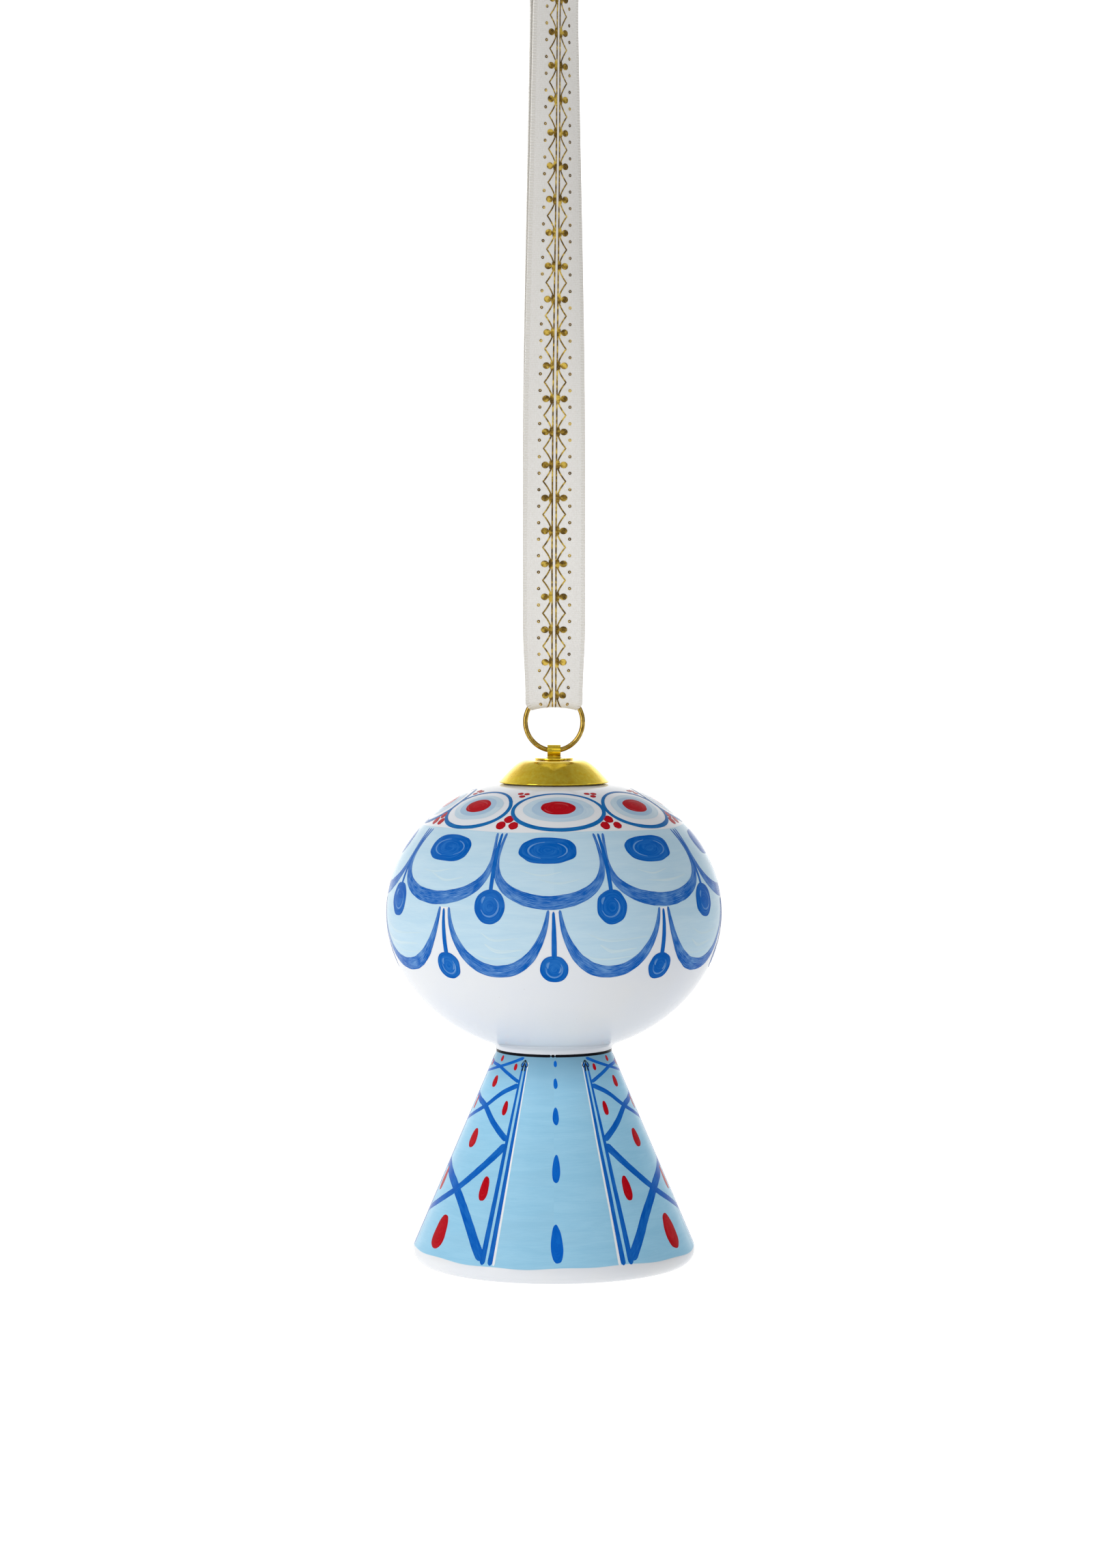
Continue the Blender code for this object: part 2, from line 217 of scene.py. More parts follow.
class Nodes(Tree):
    """A material on the Principled shader."""

    def __init__(self, name):
        self.material = bpy.data.materials.new(name)
        super().__init__(self.material, "Principled BSDF")

    def coordinates(self, layer=None, scale=(1.0, 1.0, 1.0)):
        if layer:
            source = self.add("ShaderNodeUVMap", uv_map=layer).outputs["UV"]
        else:
            source = self.add("ShaderNodeTexCoord").outputs["Object"]
        mapping = self.add("ShaderNodeMapping")
        mapping.inputs["Scale"].default_value = scale
        self.link(source, mapping.inputs["Vector"])
        return mapping.outputs["Vector"]

    def noise(self, vector, scale, detail=3.0, roughness=0.5, distortion=0.0):
        node = self.add("ShaderNodeTexNoise")
        settings = (("Scale", scale), ("Detail", detail))
        for name, value in settings + (("Roughness", roughness), ("Distortion", distortion)):
            node.inputs[name].default_value = value
        self.link(vector, node.inputs["Vector"])
        return node.outputs["Fac"]

    def math(self, operation, first, second=0.0, clamp=False):
        node = self.add("ShaderNodeMath", operation=operation, use_clamp=clamp)
        for socket, value in zip(node.inputs, (first, second)):
            if isinstance(value, bpy.types.NodeSocket):
                self.link(value, socket)
            else:
                socket.default_value = value
        return node.outputs[0]

    def colour(self, output):
        self.link(output, self.shader.inputs["Base Color"])

    def rough(self, factor, low, high):
        self.link(self.remap(factor, end=(low, high)), self.shader.inputs["Roughness"])

    def bump(self, *layers):
        """Bumps one over another; each is (height, strength, distance)."""
        previous = None
        for height, strength, distance in layers:
            node = self.add("ShaderNodeBump")
            node.inputs["Strength"].default_value = strength
            node.inputs["Distance"].default_value = distance
            self.link(height, node.inputs["Height"])
            if previous:
                self.link(previous, node.inputs["Normal"])
            previous = node.outputs["Normal"]
        self.link(previous, self.shader.inputs["Normal"])


# Materials


def glaze_body():
    """White glaze: a cool white with faint cream drifts, kiln specks and a slight ripple."""
    m = Nodes("white_glaze")
    place = m.coordinates()
    drift = m.noise(place, 60.0, 4.0)
    white = m.ramp(drift, [(0.35, linear(234, 238, 245)), (0.65, linear(238, 240, 242))])
    specks = m.noise(place, 2600.0, 1.0)
    speck = m.ramp(specks, [(0.80, 0.0), (0.83, 0.35)])
    m.colour(m.mix(speck, white, linear(190, 186, 178)))
    m.rough(m.noise(place, 240.0, 3.0), 0.05, 0.11)
    ripple = m.noise(place, 170.0, 2.0)
    m.bump((ripple, 0.10, 0.0004))
    m.set(IOR=1.45, Specular_IOR_Level=0.16)
    return m.material


def dry_paste(name, dark, pale, grain_noise, rough, bump):
    """A dull mineral face: unglazed clay or set cement."""
    m = Nodes(name)
    grain = m.noise(m.coordinates(), *grain_noise)
    m.colour(m.ramp(grain, [(0.3, linear(*dark)), (0.7, linear(*pale))]))
    m.rough(grain, *rough)
    m.bump((grain, *bump))
    return m.material


def bisque():
    """The dry unglazed clay of the foot and of the seat under the cap."""
    tones = (214, 209, 200), (236, 232, 224)
    return dry_paste("unglazed_clay", *tones, (3000.0, 4.0), (0.75, 0.95), (0.5, 0.00005))


def paint(name, deep, pale, streak=0.55, rim=0.0):
    """Glazed-over brush paint: streaks run along each stroke, from the deep to the pale colour."""
    m = Nodes(name)
    hair = m.noise(m.coordinates("brush", (0.10, 2.2, 1.0)), 5.0, 5.0, 0.62, 0.35)
    pool = m.noise(m.coordinates("brush", (0.25, 0.4, 1.0)), 1.3, 2.0)
    wet = m.math("MULTIPLY", m.math("ADD", hair, m.math("MULTIPLY", pool, 0.5)), 0.8)
    base = m.ramp(wet, [(streak - 0.10, linear(*deep)), (streak + 0.16, linear(*pale))])
    if rim:
        across = m.split(m.coordinates("brush"))["Y"]
        edge = m.math("POWER", m.math("ABSOLUTE", across), 6.0)
        darker = tuple(c * 0.80 for c in linear(*deep))
        base = m.mix(m.math("MULTIPLY", edge, rim, clamp=True), base, darker)
    m.colour(base)
    m.rough(hair, 0.07, 0.13)
    m.bump((hair, 0.06, 0.0002))
    m.set(IOR=1.33, Specular_IOR_Level=0.05)
    return m.material


def wash(name, deep, pale, deepest=None, painted_shade=None):
    """A thin wash of colour laid round the pot in broad uneven passes.

    The last argument is (colour, upper height, lower height): painted shade, darkest at the upper
    height and gone by the lower one.
    """
    m = Nodes(name)
    broad = m.noise(m.coordinates("brush", (0.07, 0.55, 1.0)), 1.0, 4.0, 0.6, 0.8)
    fine = m.noise(m.coordinates("brush", (0.35, 3.0, 1.0)), 1.4, 3.0)
    mixed = m.math("ADD", m.math("MULTIPLY", broad, 0.72), m.math("MULTIPLY", fine, 0.28))
    base = m.ramp(mixed, [(0.40, linear(*deep)), (0.62, linear(*pale))])
    if deepest:
        patches = m.noise(m.coordinates("brush", (0.05, 0.12, 1.0)), 1.0)
        base = m.mix(m.ramp(patches, [(0.5, 0.0), (0.75, 0.5)]), base, linear(*deepest))
    # Painted shade: the wash darkens towards the upper height
    if painted_shade:
        colour, upper, lower = painted_shade
        height = m.split(m.coordinates())["Z"]
        base = m.mix(m.remap(height, (lower, upper), kind="SMOOTHSTEP"), base, linear(*colour))
    m.colour(base)
    m.rough(fine, 0.06, 0.12)
    m.bump((broad, 0.05, 0.0002))
    m.set(IOR=1.38, Specular_IOR_Level=0.09)
    return m.material


GOLD_TONES = ((244, 206, 48), (252, 228, 88), (214, 160, 30))
# The ring wire's darker gold and dark edge tint are painted shade and painted dark reflections
WIRE_SHADED_TONES = ((158, 124, 46), (214, 184, 98), (96, 66, 20))
WIRE_DARK_EDGE = (0.12, 0.07, 0.02, 1.0)


def gold(name, roughness, dents, depth, tones=GOLD_TONES, edge=(1.0, 1.0, 1.0, 1.0)):
    """Bright gold plate: soft unevenness from stamping, pinholes, fine scratches, dulled spots.
    Darker tones and a dark edge tint, as the ring is given, paint shade and dark reflections onto
    it.
    """
    deep, pale, tarnish_and_shade = tones
    m = Nodes(name)
    place = m.coordinates()
    dent = m.noise(place, dents, 1.5, 0.5, 0.4)
    dull = m.noise(place, 1500.0, 5.0, 0.7)
    pits = m.ramp(m.noise(place, 2600.0, 2.0), [(0.70, 0.0), (0.76, 1.0)])
    lines = m.noise(m.coordinates(None, (1.0, 1.0, 14.0)), 420.0, 2.0)
    tint = m.ramp(dull, [(0.35, linear(*deep)), (0.70, linear(*pale))])
    worn_and_shaded = m.mix(m.ramp(dent, [(0.50, 0.0), (0.80, 0.45)]), tint, linear(*tarnish_and_shade))
    m.colour(m.mix(m.math("MULTIPLY", pits, 0.5), worn_and_shaded, linear(150, 104, 20)))
    m.rough(dull, roughness * 0.6, roughness * 1.6)
    m.bump((dent, depth, 0.0006), (lines, 0.04, 0.00006), (pits, -0.2, 0.00002))
    m.set(Metallic=1.0, Specular_Tint=edge)
    return m.material


def steel():
    m = Nodes("drawn_steel")
    place = m.coordinates(None, (1.0, 1.0, 0.05))
    lines = m.noise(place, 9000.0, 3.0)
    blotch = m.noise(m.coordinates(), 500.0, 4.0)
    m.colour(m.ramp(blotch, [(0.35, linear(150, 150, 150)), (0.7, linear(205, 205, 202))]))
    m.rough(lines, 0.18, 0.42)
    m.bump((lines, 0.25, 0.00002))
    m.set(Metallic=1.0)
    return m.material


def cement():
    tones = (196, 188, 170), (232, 226, 212)
    return dry_paste("set_cement", *tones, (2200.0, 6.0, 0.7), (0.7, 0.95), (0.6, 0.0001))


def satin():
    """Cream satin: a fine weave, coarser floats towards the edges, and ribbed selvages, with
    painted shade in the gaps between the floats and in the troughs of the ribs.
    """
    m = Nodes("ribbon_satin")
    parts = m.split(m.coordinates("weave"))
    along, across = parts["X"], parts["Y"]
    edge = m.math("ABSOLUTE", across)
    margin = m.math("MULTIPLY", m.math("SUBTRACT", edge, 2.2), 0.8, clamp=True)
    selvage = m.math("MULTIPLY", m.math("SUBTRACT", edge, 4.45), 8.0, clamp=True)
    floats = brick_floats(m, along, across)
    twill = m.math("SINE", m.math("MULTIPLY", m.math("ADD", along, across), 2.0 * math.pi * 3.4))
    ribs = m.math("SINE", m.math("MULTIPLY", along, 2.0 * math.pi / 0.47))
    slub = m.noise(m.coordinates("weave", (1.6, 5.0, 1.0)), 1.0, 4.0)
    cream = m.ramp(slub, [(0.3, linear(241, 238, 232)), (0.7, linear(250, 248, 244))])
    gaps = m.math("MULTIPLY", floats, margin)
    # Painted shade in the gaps between the floats
    shaded_weave = m.mix(m.math("MULTIPLY", gaps, 0.24), cream, linear(206, 198, 184))
    rib_shade = m.math("MULTIPLY", m.math("ADD", m.math("MULTIPLY", ribs, -0.5), 0.5), selvage)
    m.colour(m.mix(m.math("MULTIPLY", rib_shade, 0.20), shaded_weave, linear(206, 194, 168)))
    m.rough(slub, 0.36, 0.55)
    rib_height = m.math("MULTIPLY", ribs, selvage)
    m.bump((twill, 0.22, 0.00003), (gaps, -0.35, 0.00005), (rib_height, 0.45, 0.00008))
    m.set(Sheen_Weight=0.2, Sheen_Roughness=0.35, Anisotropic=0.4)
    return m.material


def brick_floats(m, along, across):
    """1 in the gaps between the weave's floats, which lie across the ribbon in staggered rows."""
    wander = m.noise(m.coordinates("weave"), 1.3, 3.0)
    turned = m.add("ShaderNodeCombineXYZ")
    m.link(m.math("ADD", across, m.math("MULTIPLY", wander, 1.6)), turned.inputs["X"])
    m.link(m.math("ADD", along, m.math("MULTIPLY", wander, 0.14)), turned.inputs["Y"])
    brick = m.add("ShaderNodeTexBrick")
    sizes = {"Scale": 1.0, "Mortar Size": 0.045, "Mortar Smooth": 1.0}
    sizes.update({"Brick Width": 0.82, "Row Height": 0.31})
    for name, size in sizes.items():
        brick.inputs[name].default_value = size
    m.link(turned.outputs["Vector"], brick.inputs["Vector"])
    return brick.outputs["Fac"]


def thread():
    m = Nodes("cream_thread")
    twist = m.add("ShaderNodeTexWave", wave_type="BANDS", bands_direction="DIAGONAL")
    twist.inputs["Scale"].default_value = 1500.0
    m.link(m.coordinates(), twist.inputs["Vector"])
    strand = twist.outputs["Fac"]
    m.colour(m.ramp(strand, [(0.2, linear(208, 200, 184)), (0.8, linear(246, 242, 232))]))
    m.rough(strand, 0.6, 0.8)
    m.bump((strand, 0.5, 0.00004))
    return m.material


def foil():
    """Gold foil stamped on satin, broken a little by the weave; dark olive and pale yellow by
    turns, painted dark reflections and highlights over the foil's tone.
    """
    m = Nodes("gold_foil_print")
    grain = m.noise(m.coordinates("weave", (9.0, 9.0, 1.0)), 1.0, 3.0)
    turns = m.noise(m.coordinates("weave", (1.1, 0.9, 1.0)), 1.0, 2.0)
    # Painted reflections and highlights: the dark olive and the pale yellow stops
    stops = [(0.38, linear(98, 72, 20)), (0.50, linear(158, 122, 38)), (0.64, linear(248, 212, 92))]
    foil_tone_and_glints = m.ramp(turns, stops)
    m.colour(m.mix(m.ramp(grain, [(0.5, 0.0), (0.8, 0.6)]), foil_tone_and_glints, linear(236, 214, 150)))
    m.rough(grain, 0.2, 0.45)
    m.bump((grain, 0.5, 0.00005), (turns, 0.3, 0.0002))
    m.set(Metallic=0.9)
    return m.material


# Shape helpers


def link_object(name, data):
    obj = bpy.data.objects.new(name, data)
    bpy.context.scene.collection.objects.link(obj)
    return obj


def mesh_object(name, mesh, material):
    """The object made of a finished bmesh, in one material and shaded smooth."""
    data = bpy.data.meshes.new(name)
    mesh.to_mesh(data)
    mesh.free()
    data.shade_smooth()
    data.materials.append(material)
    return link_object(name, data)


def ease(low, high, value):
    """0 below low, 1 above high, and an even S between."""
    share = min(max((value - low) / (high - low), 0.0), 1.0)
    return share * share * (3.0 - 2.0 * share)


def arc(centre, radius, start, end, count):
    """Points on a circle, from one angle to the other in degrees."""
    angles = [math.radians(start + (end - start) * i / count) for i in range(count + 1)]
    return [(centre[0] + radius * math.cos(a), centre[1] + radius * math.sin(a)) for a in angles]


def smooth_path(points, per_span):
    """A Catmull-Rom curve through points of any dimension, with per_span steps between them."""
    points = [Vector(p) for p in points]
    ends = [points[0] * 2 - points[1]] + points + [points[-1] * 2 - points[-2]]
    path = []
    for before, start, end, after in zip(ends, ends[1:], ends[2:], ends[3:]):
        for step in range(per_span):
            t = step / per_span
            bend = 2 * before - 5 * start + 4 * end - after
            turn = 3 * start - before - 3 * end + after
            path.append(0.5 * (2 * start + (end - before) * t + bend * t * t + turn * t * t * t))
    return path + [points[-1]]


def lathe(name, profile, segments, closed, material):
    """A profile of (radius, height above the globe's centre), turned about Z."""
    mesh = bmesh.new()
    points = [mesh.verts.new((r, 0.0, z + CENTRE_Z)) for r, z in profile]
    pairs = list(zip(points, points[1:]))
    if closed:
        pairs.append((points[-1], points[0]))
    outline = points + [mesh.edges.new(pair) for pair in pairs]
    circle = {"cent": (0.0, 0.0, 0.0), "axis": (0.0, 0.0, 1.0), "angle": 2.0 * math.pi}
    bmesh.ops.spin(mesh, geom=outline, steps=segments, use_merge=True, **circle)
    bmesh.ops.remove_doubles(mesh, verts=mesh.verts, dist=1e-7)
    bmesh.ops.recalc_face_normals(mesh, faces=mesh.faces)
    return mesh_object(name, mesh, material)


def ellipse(radius, half, start_r, end_r, count):
    """Points down an upright ellipse, from start_r above its middle to end_r below it."""
    start = math.acos(start_r / radius)
    end = -math.acos(end_r / radius)
    angles = [start + (end - start) * i / count for i in range(count + 1)]
    return [(radius * math.cos(a), half * math.sin(a)) for a in angles]


# The painted surfaces

Surface = collections.namedtuple("Surface", "place scale")


def shoulder(radius, height, top=SEAT_Z):
    """The height of a point of the ellipse after the fired globe's shoulder has sunk."""
    reach = max(SHOULDER_R - radius, 0.0) / SHOULDER_REACH
    return min(height - SHOULDER_DROP * reach * reach, top) if height > 0.0 else height


def globe_profile(latitude):
    lat = math.radians(latitude)
    radius = GLOBE_R * math.cos(lat)
    return Vector((radius, shoulder(radius, GLOBE_HALF * math.sin(lat))))


def outward_at(theta):
    turn = math.radians(theta)
    return Vector((math.sin(turn), -math.cos(turn), 0.0))


def globe_place(theta, latitude):
    outward = outward_at(theta)
    radius, height = globe_profile(latitude)
    upward = globe_profile(latitude + 0.05) - globe_profile(latitude - 0.05)
    normal = outward * upward.y - Vector((0, 0, upward.x))
    return outward * radius + Vector((0, 0, height + CENTRE_Z)), normal.normalized()


def globe_scale(latitude):
    """Metres per degree round the globe and up it."""
    lat = math.radians(latitude)
    upward = math.hypot(GLOBE_R * math.sin(lat), GLOBE_HALF * math.cos(lat))
    return math.radians(GLOBE_R * math.cos(lat)), math.radians(upward)


def skirt_radius(height):
    """Radius of the cone at a height, or of the hollow of the neck above it."""
    top_z = NECK_ARC[1] - NECK_ARC[2] * math.sin(CONE_TILT)
    if height > top_z:
        return NECK_ARC[0] - math.sqrt(NECK_ARC[2] ** 2 - (height - NECK_ARC[1]) ** 2)
    top_r = NECK_ARC[0] - NECK_ARC[2] * math.cos(CONE_TILT)
    low_r = FOOT_ARC[0] + FOOT_ARC[2] * math.cos(CONE_TILT)
    low_z = FOOT_ARC[1] + FOOT_ARC[2] * math.sin(CONE_TILT)
    return top_r + (top_z - height) * (low_r - top_r) / (top_z - low_z)


def skirt_place(theta, height):
    outward = outward_at(theta)
    step = 0.00001
    flare = (skirt_radius(height - step) - skirt_radius(height + step)) / (2.0 * step)
    normal = (outward + Vector((0, 0, flare))).normalized()
    return outward * skirt_radius(height) + Vector((0, 0, height + CENTRE_Z)), normal


def skirt_scale(height):
    """Metres per degree round the skirt, and metres of slope per metre of height."""
    return math.radians(skirt_radius(height)), 1.0 / math.cos(CONE_TILT)


GLOBE = Surface(globe_place, globe_scale)
SKIRT = Surface(skirt_place, skirt_scale)


# Brush marks: the rounding at a stroke's ends, how fine its ragged edge is, the spacing of a
# blob's points and rings, and its streaks per metre
STROKE_TIP = 0.00004
RAGGED_SCALE = 900.0
BLOB_STEP = 0.00005
BLOB_RING = 0.0005
BLOB_TURNS = 600.0


class Layer:
    """Painted shapes of one colour, gathered into one thin skin that hugs the glaze."""

    def __init__(self, name, material, level, surface=GLOBE):
        self.name = name
        self.material = material
        self.lift = PAINT_LIFT + PAINT_STEP * level
        self.surface = surface
        self.mesh = bmesh.new()
        self.brush = self.mesh.loops.layers.uv.new("brush")
        self.outward = self.mesh.verts.layers.float_vector.new("outward")

    def vertex(self, theta, height):
        point, normal = self.surface.place(theta, height)
        vertex = self.mesh.verts.new(point + normal * self.lift)
        vertex[self.outward] = normal
        return vertex

    def face(self, corners, places):
        face = self.mesh.faces.new(corners)
        for loop, place in zip(face.loops, places):
            loop[self.brush].uv = place

    def grid(self, rows, brush_rows, closed=False):
        """Faces between rows of vertices; brush_rows holds each vertex's brush coordinates."""
        pairs = list(zip(rows, rows[1:], brush_rows, brush_rows[1:]))
        if closed:
            length = brush_rows[-1][0][0] * len(rows) / max(len(rows) - 1, 1)
            last = [(length, v) for _, v in brush_rows[0]]
            pairs.append((rows[-1], rows[0], brush_rows[-1], last))
        for lower, upper, lower_uv, upper_uv in pairs:
            for i in range(len(lower) - 1):
                corners = (lower[i], lower[i + 1], upper[i + 1], upper[i])
                self.face(corners, (lower_uv[i], lower_uv[i + 1], upper_uv[i + 1], upper_uv[i]))

    def stroke(self, points, step=0.00035, columns=5, closed=False, rough=0.06):
        """A brush stroke through points of (theta, height, width in metres)."""
        length = 0.0
        for first, second in zip(points, points[1:]):
            side, up = self.surface.scale((first[1] + second[1]) / 2)
            length += math.hypot((second[0] - first[0]) * side, (second[1] - first[1]) * up)
        path = smooth_path(points, max(2, round(length / (len(points) - 1) / step)))
        if closed:
            path = path[:-1]
        seed = random.uniform(0.0, 500.0)
        rows, brush_rows = [], []
        travelled = 0.0
        last = len(path) - 1
        for index, sample in enumerate(path):
            before = path[index - 1] if index or closed else sample
            after = path[(index + 1) % len(path)] if index < last or closed else sample
            side, up = self.surface.scale(sample.y)
            along = Vector(((after.x - before.x) * side, (after.y - before.y) * up))
            if index:
                inner = before is not sample and after is not sample
                travelled += along.length / (2 if inner else 1)
            across = Vector((-along.y, along.x)).normalized()
            half = sample.z / 2
            if not closed:
                near = min(travelled, max(length - travelled, 0.0))
                half *= math.sqrt(min(1.0, (near + STROKE_TIP) / max(half, 1e-6)))
            row, brush_row = [], []
            for column in range(columns):
                share = 2.0 * column / (columns - 1) - 1.0
                ragged = noise.noise((travelled * RAGGED_SCALE, share * 1.5, seed)) * rough
                off = across * half * share * (1.0 + ragged)
                row.append(self.vertex(sample.x + off.x / side, sample.y + off.y / up))
                brush_row.append((travelled * MM + seed, share))
            rows.append(row)
            brush_rows.append(brush_row)
        self.grid(rows, brush_rows, closed)

    def blob(self, centre, half, tilt=0.0, power=2.0, pinch=0.0, rough=0.03, degrees=False):
        """A filled round shape; pinch narrows its top towards a drop's point."""
        side, up = (1.0, 1.0) if degrees else self.surface.scale(centre[1])
        seed = random.uniform(0.0, 500.0)
        real_side, real_up = self.surface.scale(centre[1])
        size = max(half[0] / side * real_side, half[1] / up * real_up)
        segments = max(28, min(120, round(size / BLOB_STEP)))
        rings = max(2, min(14, round(size / BLOB_RING)))
        turn = math.radians(tilt)
        rows, brush_rows = [], []
        for ring in range(rings, 0, -1):
            reach = ring / rings
            row, brush_row = [], []
            for step in range(segments):
                angle = 2.0 * math.pi * step / segments
                cosine, sine = math.cos(angle), math.sin(angle)
                x = math.copysign(abs(cosine) ** (2.0 / power), cosine)
                y = math.copysign(abs(sine) ** (2.0 / power), sine)
                x *= 1.0 - pinch * max(y, -0.35) - pinch * 0.35
                swell = 1.0 + rough * noise.noise((cosine * 1.7, sine * 1.7, seed)) * 2.0
                x, y = x * half[0] * reach * swell, y * half[1] * reach * swell
                right = x * math.cos(turn) - y * math.sin(turn)
                above = x * math.sin(turn) + y * math.cos(turn)
                row.append(self.vertex(centre[0] + right / side, centre[1] + above / up))
                brush_row.append((seed + angle * size * reach * BLOB_TURNS, reach))
            row.append(row[0])
            brush_row.append((seed + 2.0 * math.pi * size * reach * BLOB_TURNS, reach))
            rows.append(row)
            brush_rows.append(brush_row)
        self.grid(rows, brush_rows)
        middle = self.vertex(*centre)
        ring, places = rows[-1], brush_rows[-1]
        for i in range(segments):
            corners = (ring[i], ring[i + 1], middle)
            self.face(corners, (places[i], places[i + 1], (places[i][0], 0.0)))

    def band(self, top, low, columns, rows):
        """A wash all the way round, between two edges given as functions of theta."""
        grid, brush_grid = [], []
        for column in range(columns + 1):
            theta = 360.0 * column / columns
            high, base = top(theta), low(theta)
            line, brush_line = [], []
            for row in range(rows + 1):
                height = high + (base - high) * (row / rows) ** 1.5
                side, up = self.surface.scale(height)
                line.append(self.vertex(theta, height))
                brush_line.append((theta * side * MM, height * up * MM))
            grid.append(line)
            brush_grid.append(brush_line)
        grid[-1] = grid[0]
        self.grid(grid, brush_grid)

    def finish(self):
        """Roots the skin's edges in the glaze, shades it as the glaze and puts it on the bell."""
        self.mesh.normal_update()
        inward = [f for f in self.mesh.faces if f.normal.dot(f.verts[0][self.outward]) < 0.0]
        bmesh.ops.reverse_faces(self.mesh, faces=inward)
        edges = [edge for edge in self.mesh.edges if edge.is_boundary]
        wall = bmesh.ops.extrude_edge_only(self.mesh, edges=edges)["geom"]
        for vertex in wall:
            if isinstance(vertex, bmesh.types.BMVert):
                vertex.co -= vertex[self.outward] * self.lift * ROOT_DEPTH
        normals = [tuple(vertex[self.outward]) for vertex in self.mesh.verts]
        obj = mesh_object(self.name, self.mesh, self.material)
        obj.data.normals_split_custom_set_from_vertices(normals)
        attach(obj, "bell")


# Porcelain body


def body_profile():
    tilt = math.degrees(CONE_TILT)
    outside = [(TOP_HOLE_R, SEAT_Z)]
    globe = ellipse(GLOBE_R, GLOBE_HALF, SEAT_R, GLOBE_END_R, 90)
    outside += [(radius, shoulder(radius, height)) for radius, height in globe]
    outside += arc(NECK_ARC[:2], NECK_ARC[2], 105.0, 180.0 + tilt, 14)
    top, low = outside[-1], arc(FOOT_ARC[:2], FOOT_ARC[2], tilt, tilt, 1)[0]
    cone = 16
    outside += [
        (top[0] + (low[0] - top[0]) * i / cone, top[1] + (low[1] - top[1]) * i / cone)
        for i in range(1, cone)
    ]
    outside += arc(FOOT_ARC[:2], FOOT_ARC[2], tilt, -90.0, 16)
    wall_x = WALL * math.cos(CONE_TILT)
    wall_z = WALL * math.sin(CONE_TILT)
    cone_low = (FOOT_ARC[0] + (FOOT_ARC[2] - WALL) * math.cos(CONE_TILT), FOOT_ARC[1])
    cone_high = (NECK_BORE_R, NECK_ARC[1] - NECK_ARC[2] - wall_z + wall_x * 0.1)
    bore = ellipse(GLOBE_R - WALL, GLOBE_HALF - WALL, TOP_HOLE_R, NECK_BORE_R + WALL / 4, 40)
    inside = [(FOOT_INNER_R, FOOT_Z), (FOOT_INNER_R - 0.0002, FOOT_Z + 0.0006), cone_low, cone_high]
    inside += [(NECK_BORE_R, bore[-1][1] - WALL / 4)]
    inside += reversed([(radius, shoulder(radius, height, INNER_TOP_Z)) for radius, height in bore])
    return outside + inside


def make_body():
    body = lathe("glazed_body", body_profile(), 256, True, glaze_body())
    body.data.materials.append(bisque())
    for polygon in body.data.polygons:
        flat = abs(polygon.normal.z) > 0.999
        polygon.material_index = 1 if flat else 0
    body.data.set_sharp_from_angle(angle=SHARP_ANGLE)
    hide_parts("porcelain_body")
    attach(body, "bell")


# Decoration of the globe

RED = paint("glaze_red", (182, 2, 22), (204, 36, 48), 0.64, rim=0.25)

# One half of a swag from its top end to its bottom: (share of half width, share of depth, width)
SWAG = (
    (0.945, 0.0, 0.00042),
    (0.985, 0.22, 0.00052),
    (1.0, 0.45, 0.00078),
    (0.92, 0.67, 0.00130),
    (0.72, 0.84, 0.00185),
    (0.40, 0.955, 0.00215),
    (0.0, 1.0, 0.00225),
)
LOW_SWAG = (
    (1.0, 0.0, 0.00042),
    (0.965, 0.18, 0.00070),
    (0.90, 0.38, 0.00100),
    (0.79, 0.58, 0.00135),
    (0.62, 0.78, 0.00180),
    (0.34, 0.945, 0.00210),
    (0.0, 1.0, 0.00215),
)


def spans(edges):
    """(start, end) of the stretch from each angle to the next, round the circle."""
    return list(zip(edges, edges[1:] + (edges[0] + 360.0,)))


def swag_points(shape, centre, half, top, low):
    left = [(centre - x * half, top + (low - top) * y, w) for x, y, w in shape]
    right = [(2 * centre - theta, lat, w) for theta, lat, w in reversed(left[:-1])]
    return left + right


def swag_edge(theta):
    """Latitude of the lower edge of the light blue, under the second row of swags."""
    for start, end in spans(PENDANTS):
        turned = theta - 360.0 if theta > PENDANTS[0] + 360.0 else theta
        for shifted in (turned, turned + 360.0, turned - 360.0):
            if start <= shifted <= end:
                centre, half = (start + end) / 2, (end - start) / 2 - ROW_TWO_INSET
                reach = abs(shifted - centre) / half
                return ROW_TWO_LAT + (ROW_TWO_LOW_LAT - ROW_TWO_LAT) * low_swag_depth(reach)
    return ROW_TWO_LAT


def low_swag_depth(reach):
    """Share of the depth of a second-row swag at this share of its half width."""
    if reach >= LOW_SWAG[0][0]:
        return 0.0
    for (outer, high, _), (inner, deep, _) in zip(LOW_SWAG, LOW_SWAG[1:]):
        if inner <= reach <= outer:
            share = (outer - reach) / (outer - inner)
            return high + (deep - high) * share
    return 1.0


def band_edge(theta):
    """Latitude of the upper edge of the light blue."""
    return BAND_LAT + 0.35 * math.sin(math.radians(theta) * 5.0)


def paint_light_zone():
    light = Layer("light_blue_zone", wash("light_blue_wash", (191, 222, 240), (201, 228, 243)), 0)
    light.band(band_edge, swag_edge, 1440, 30)
    light.finish()


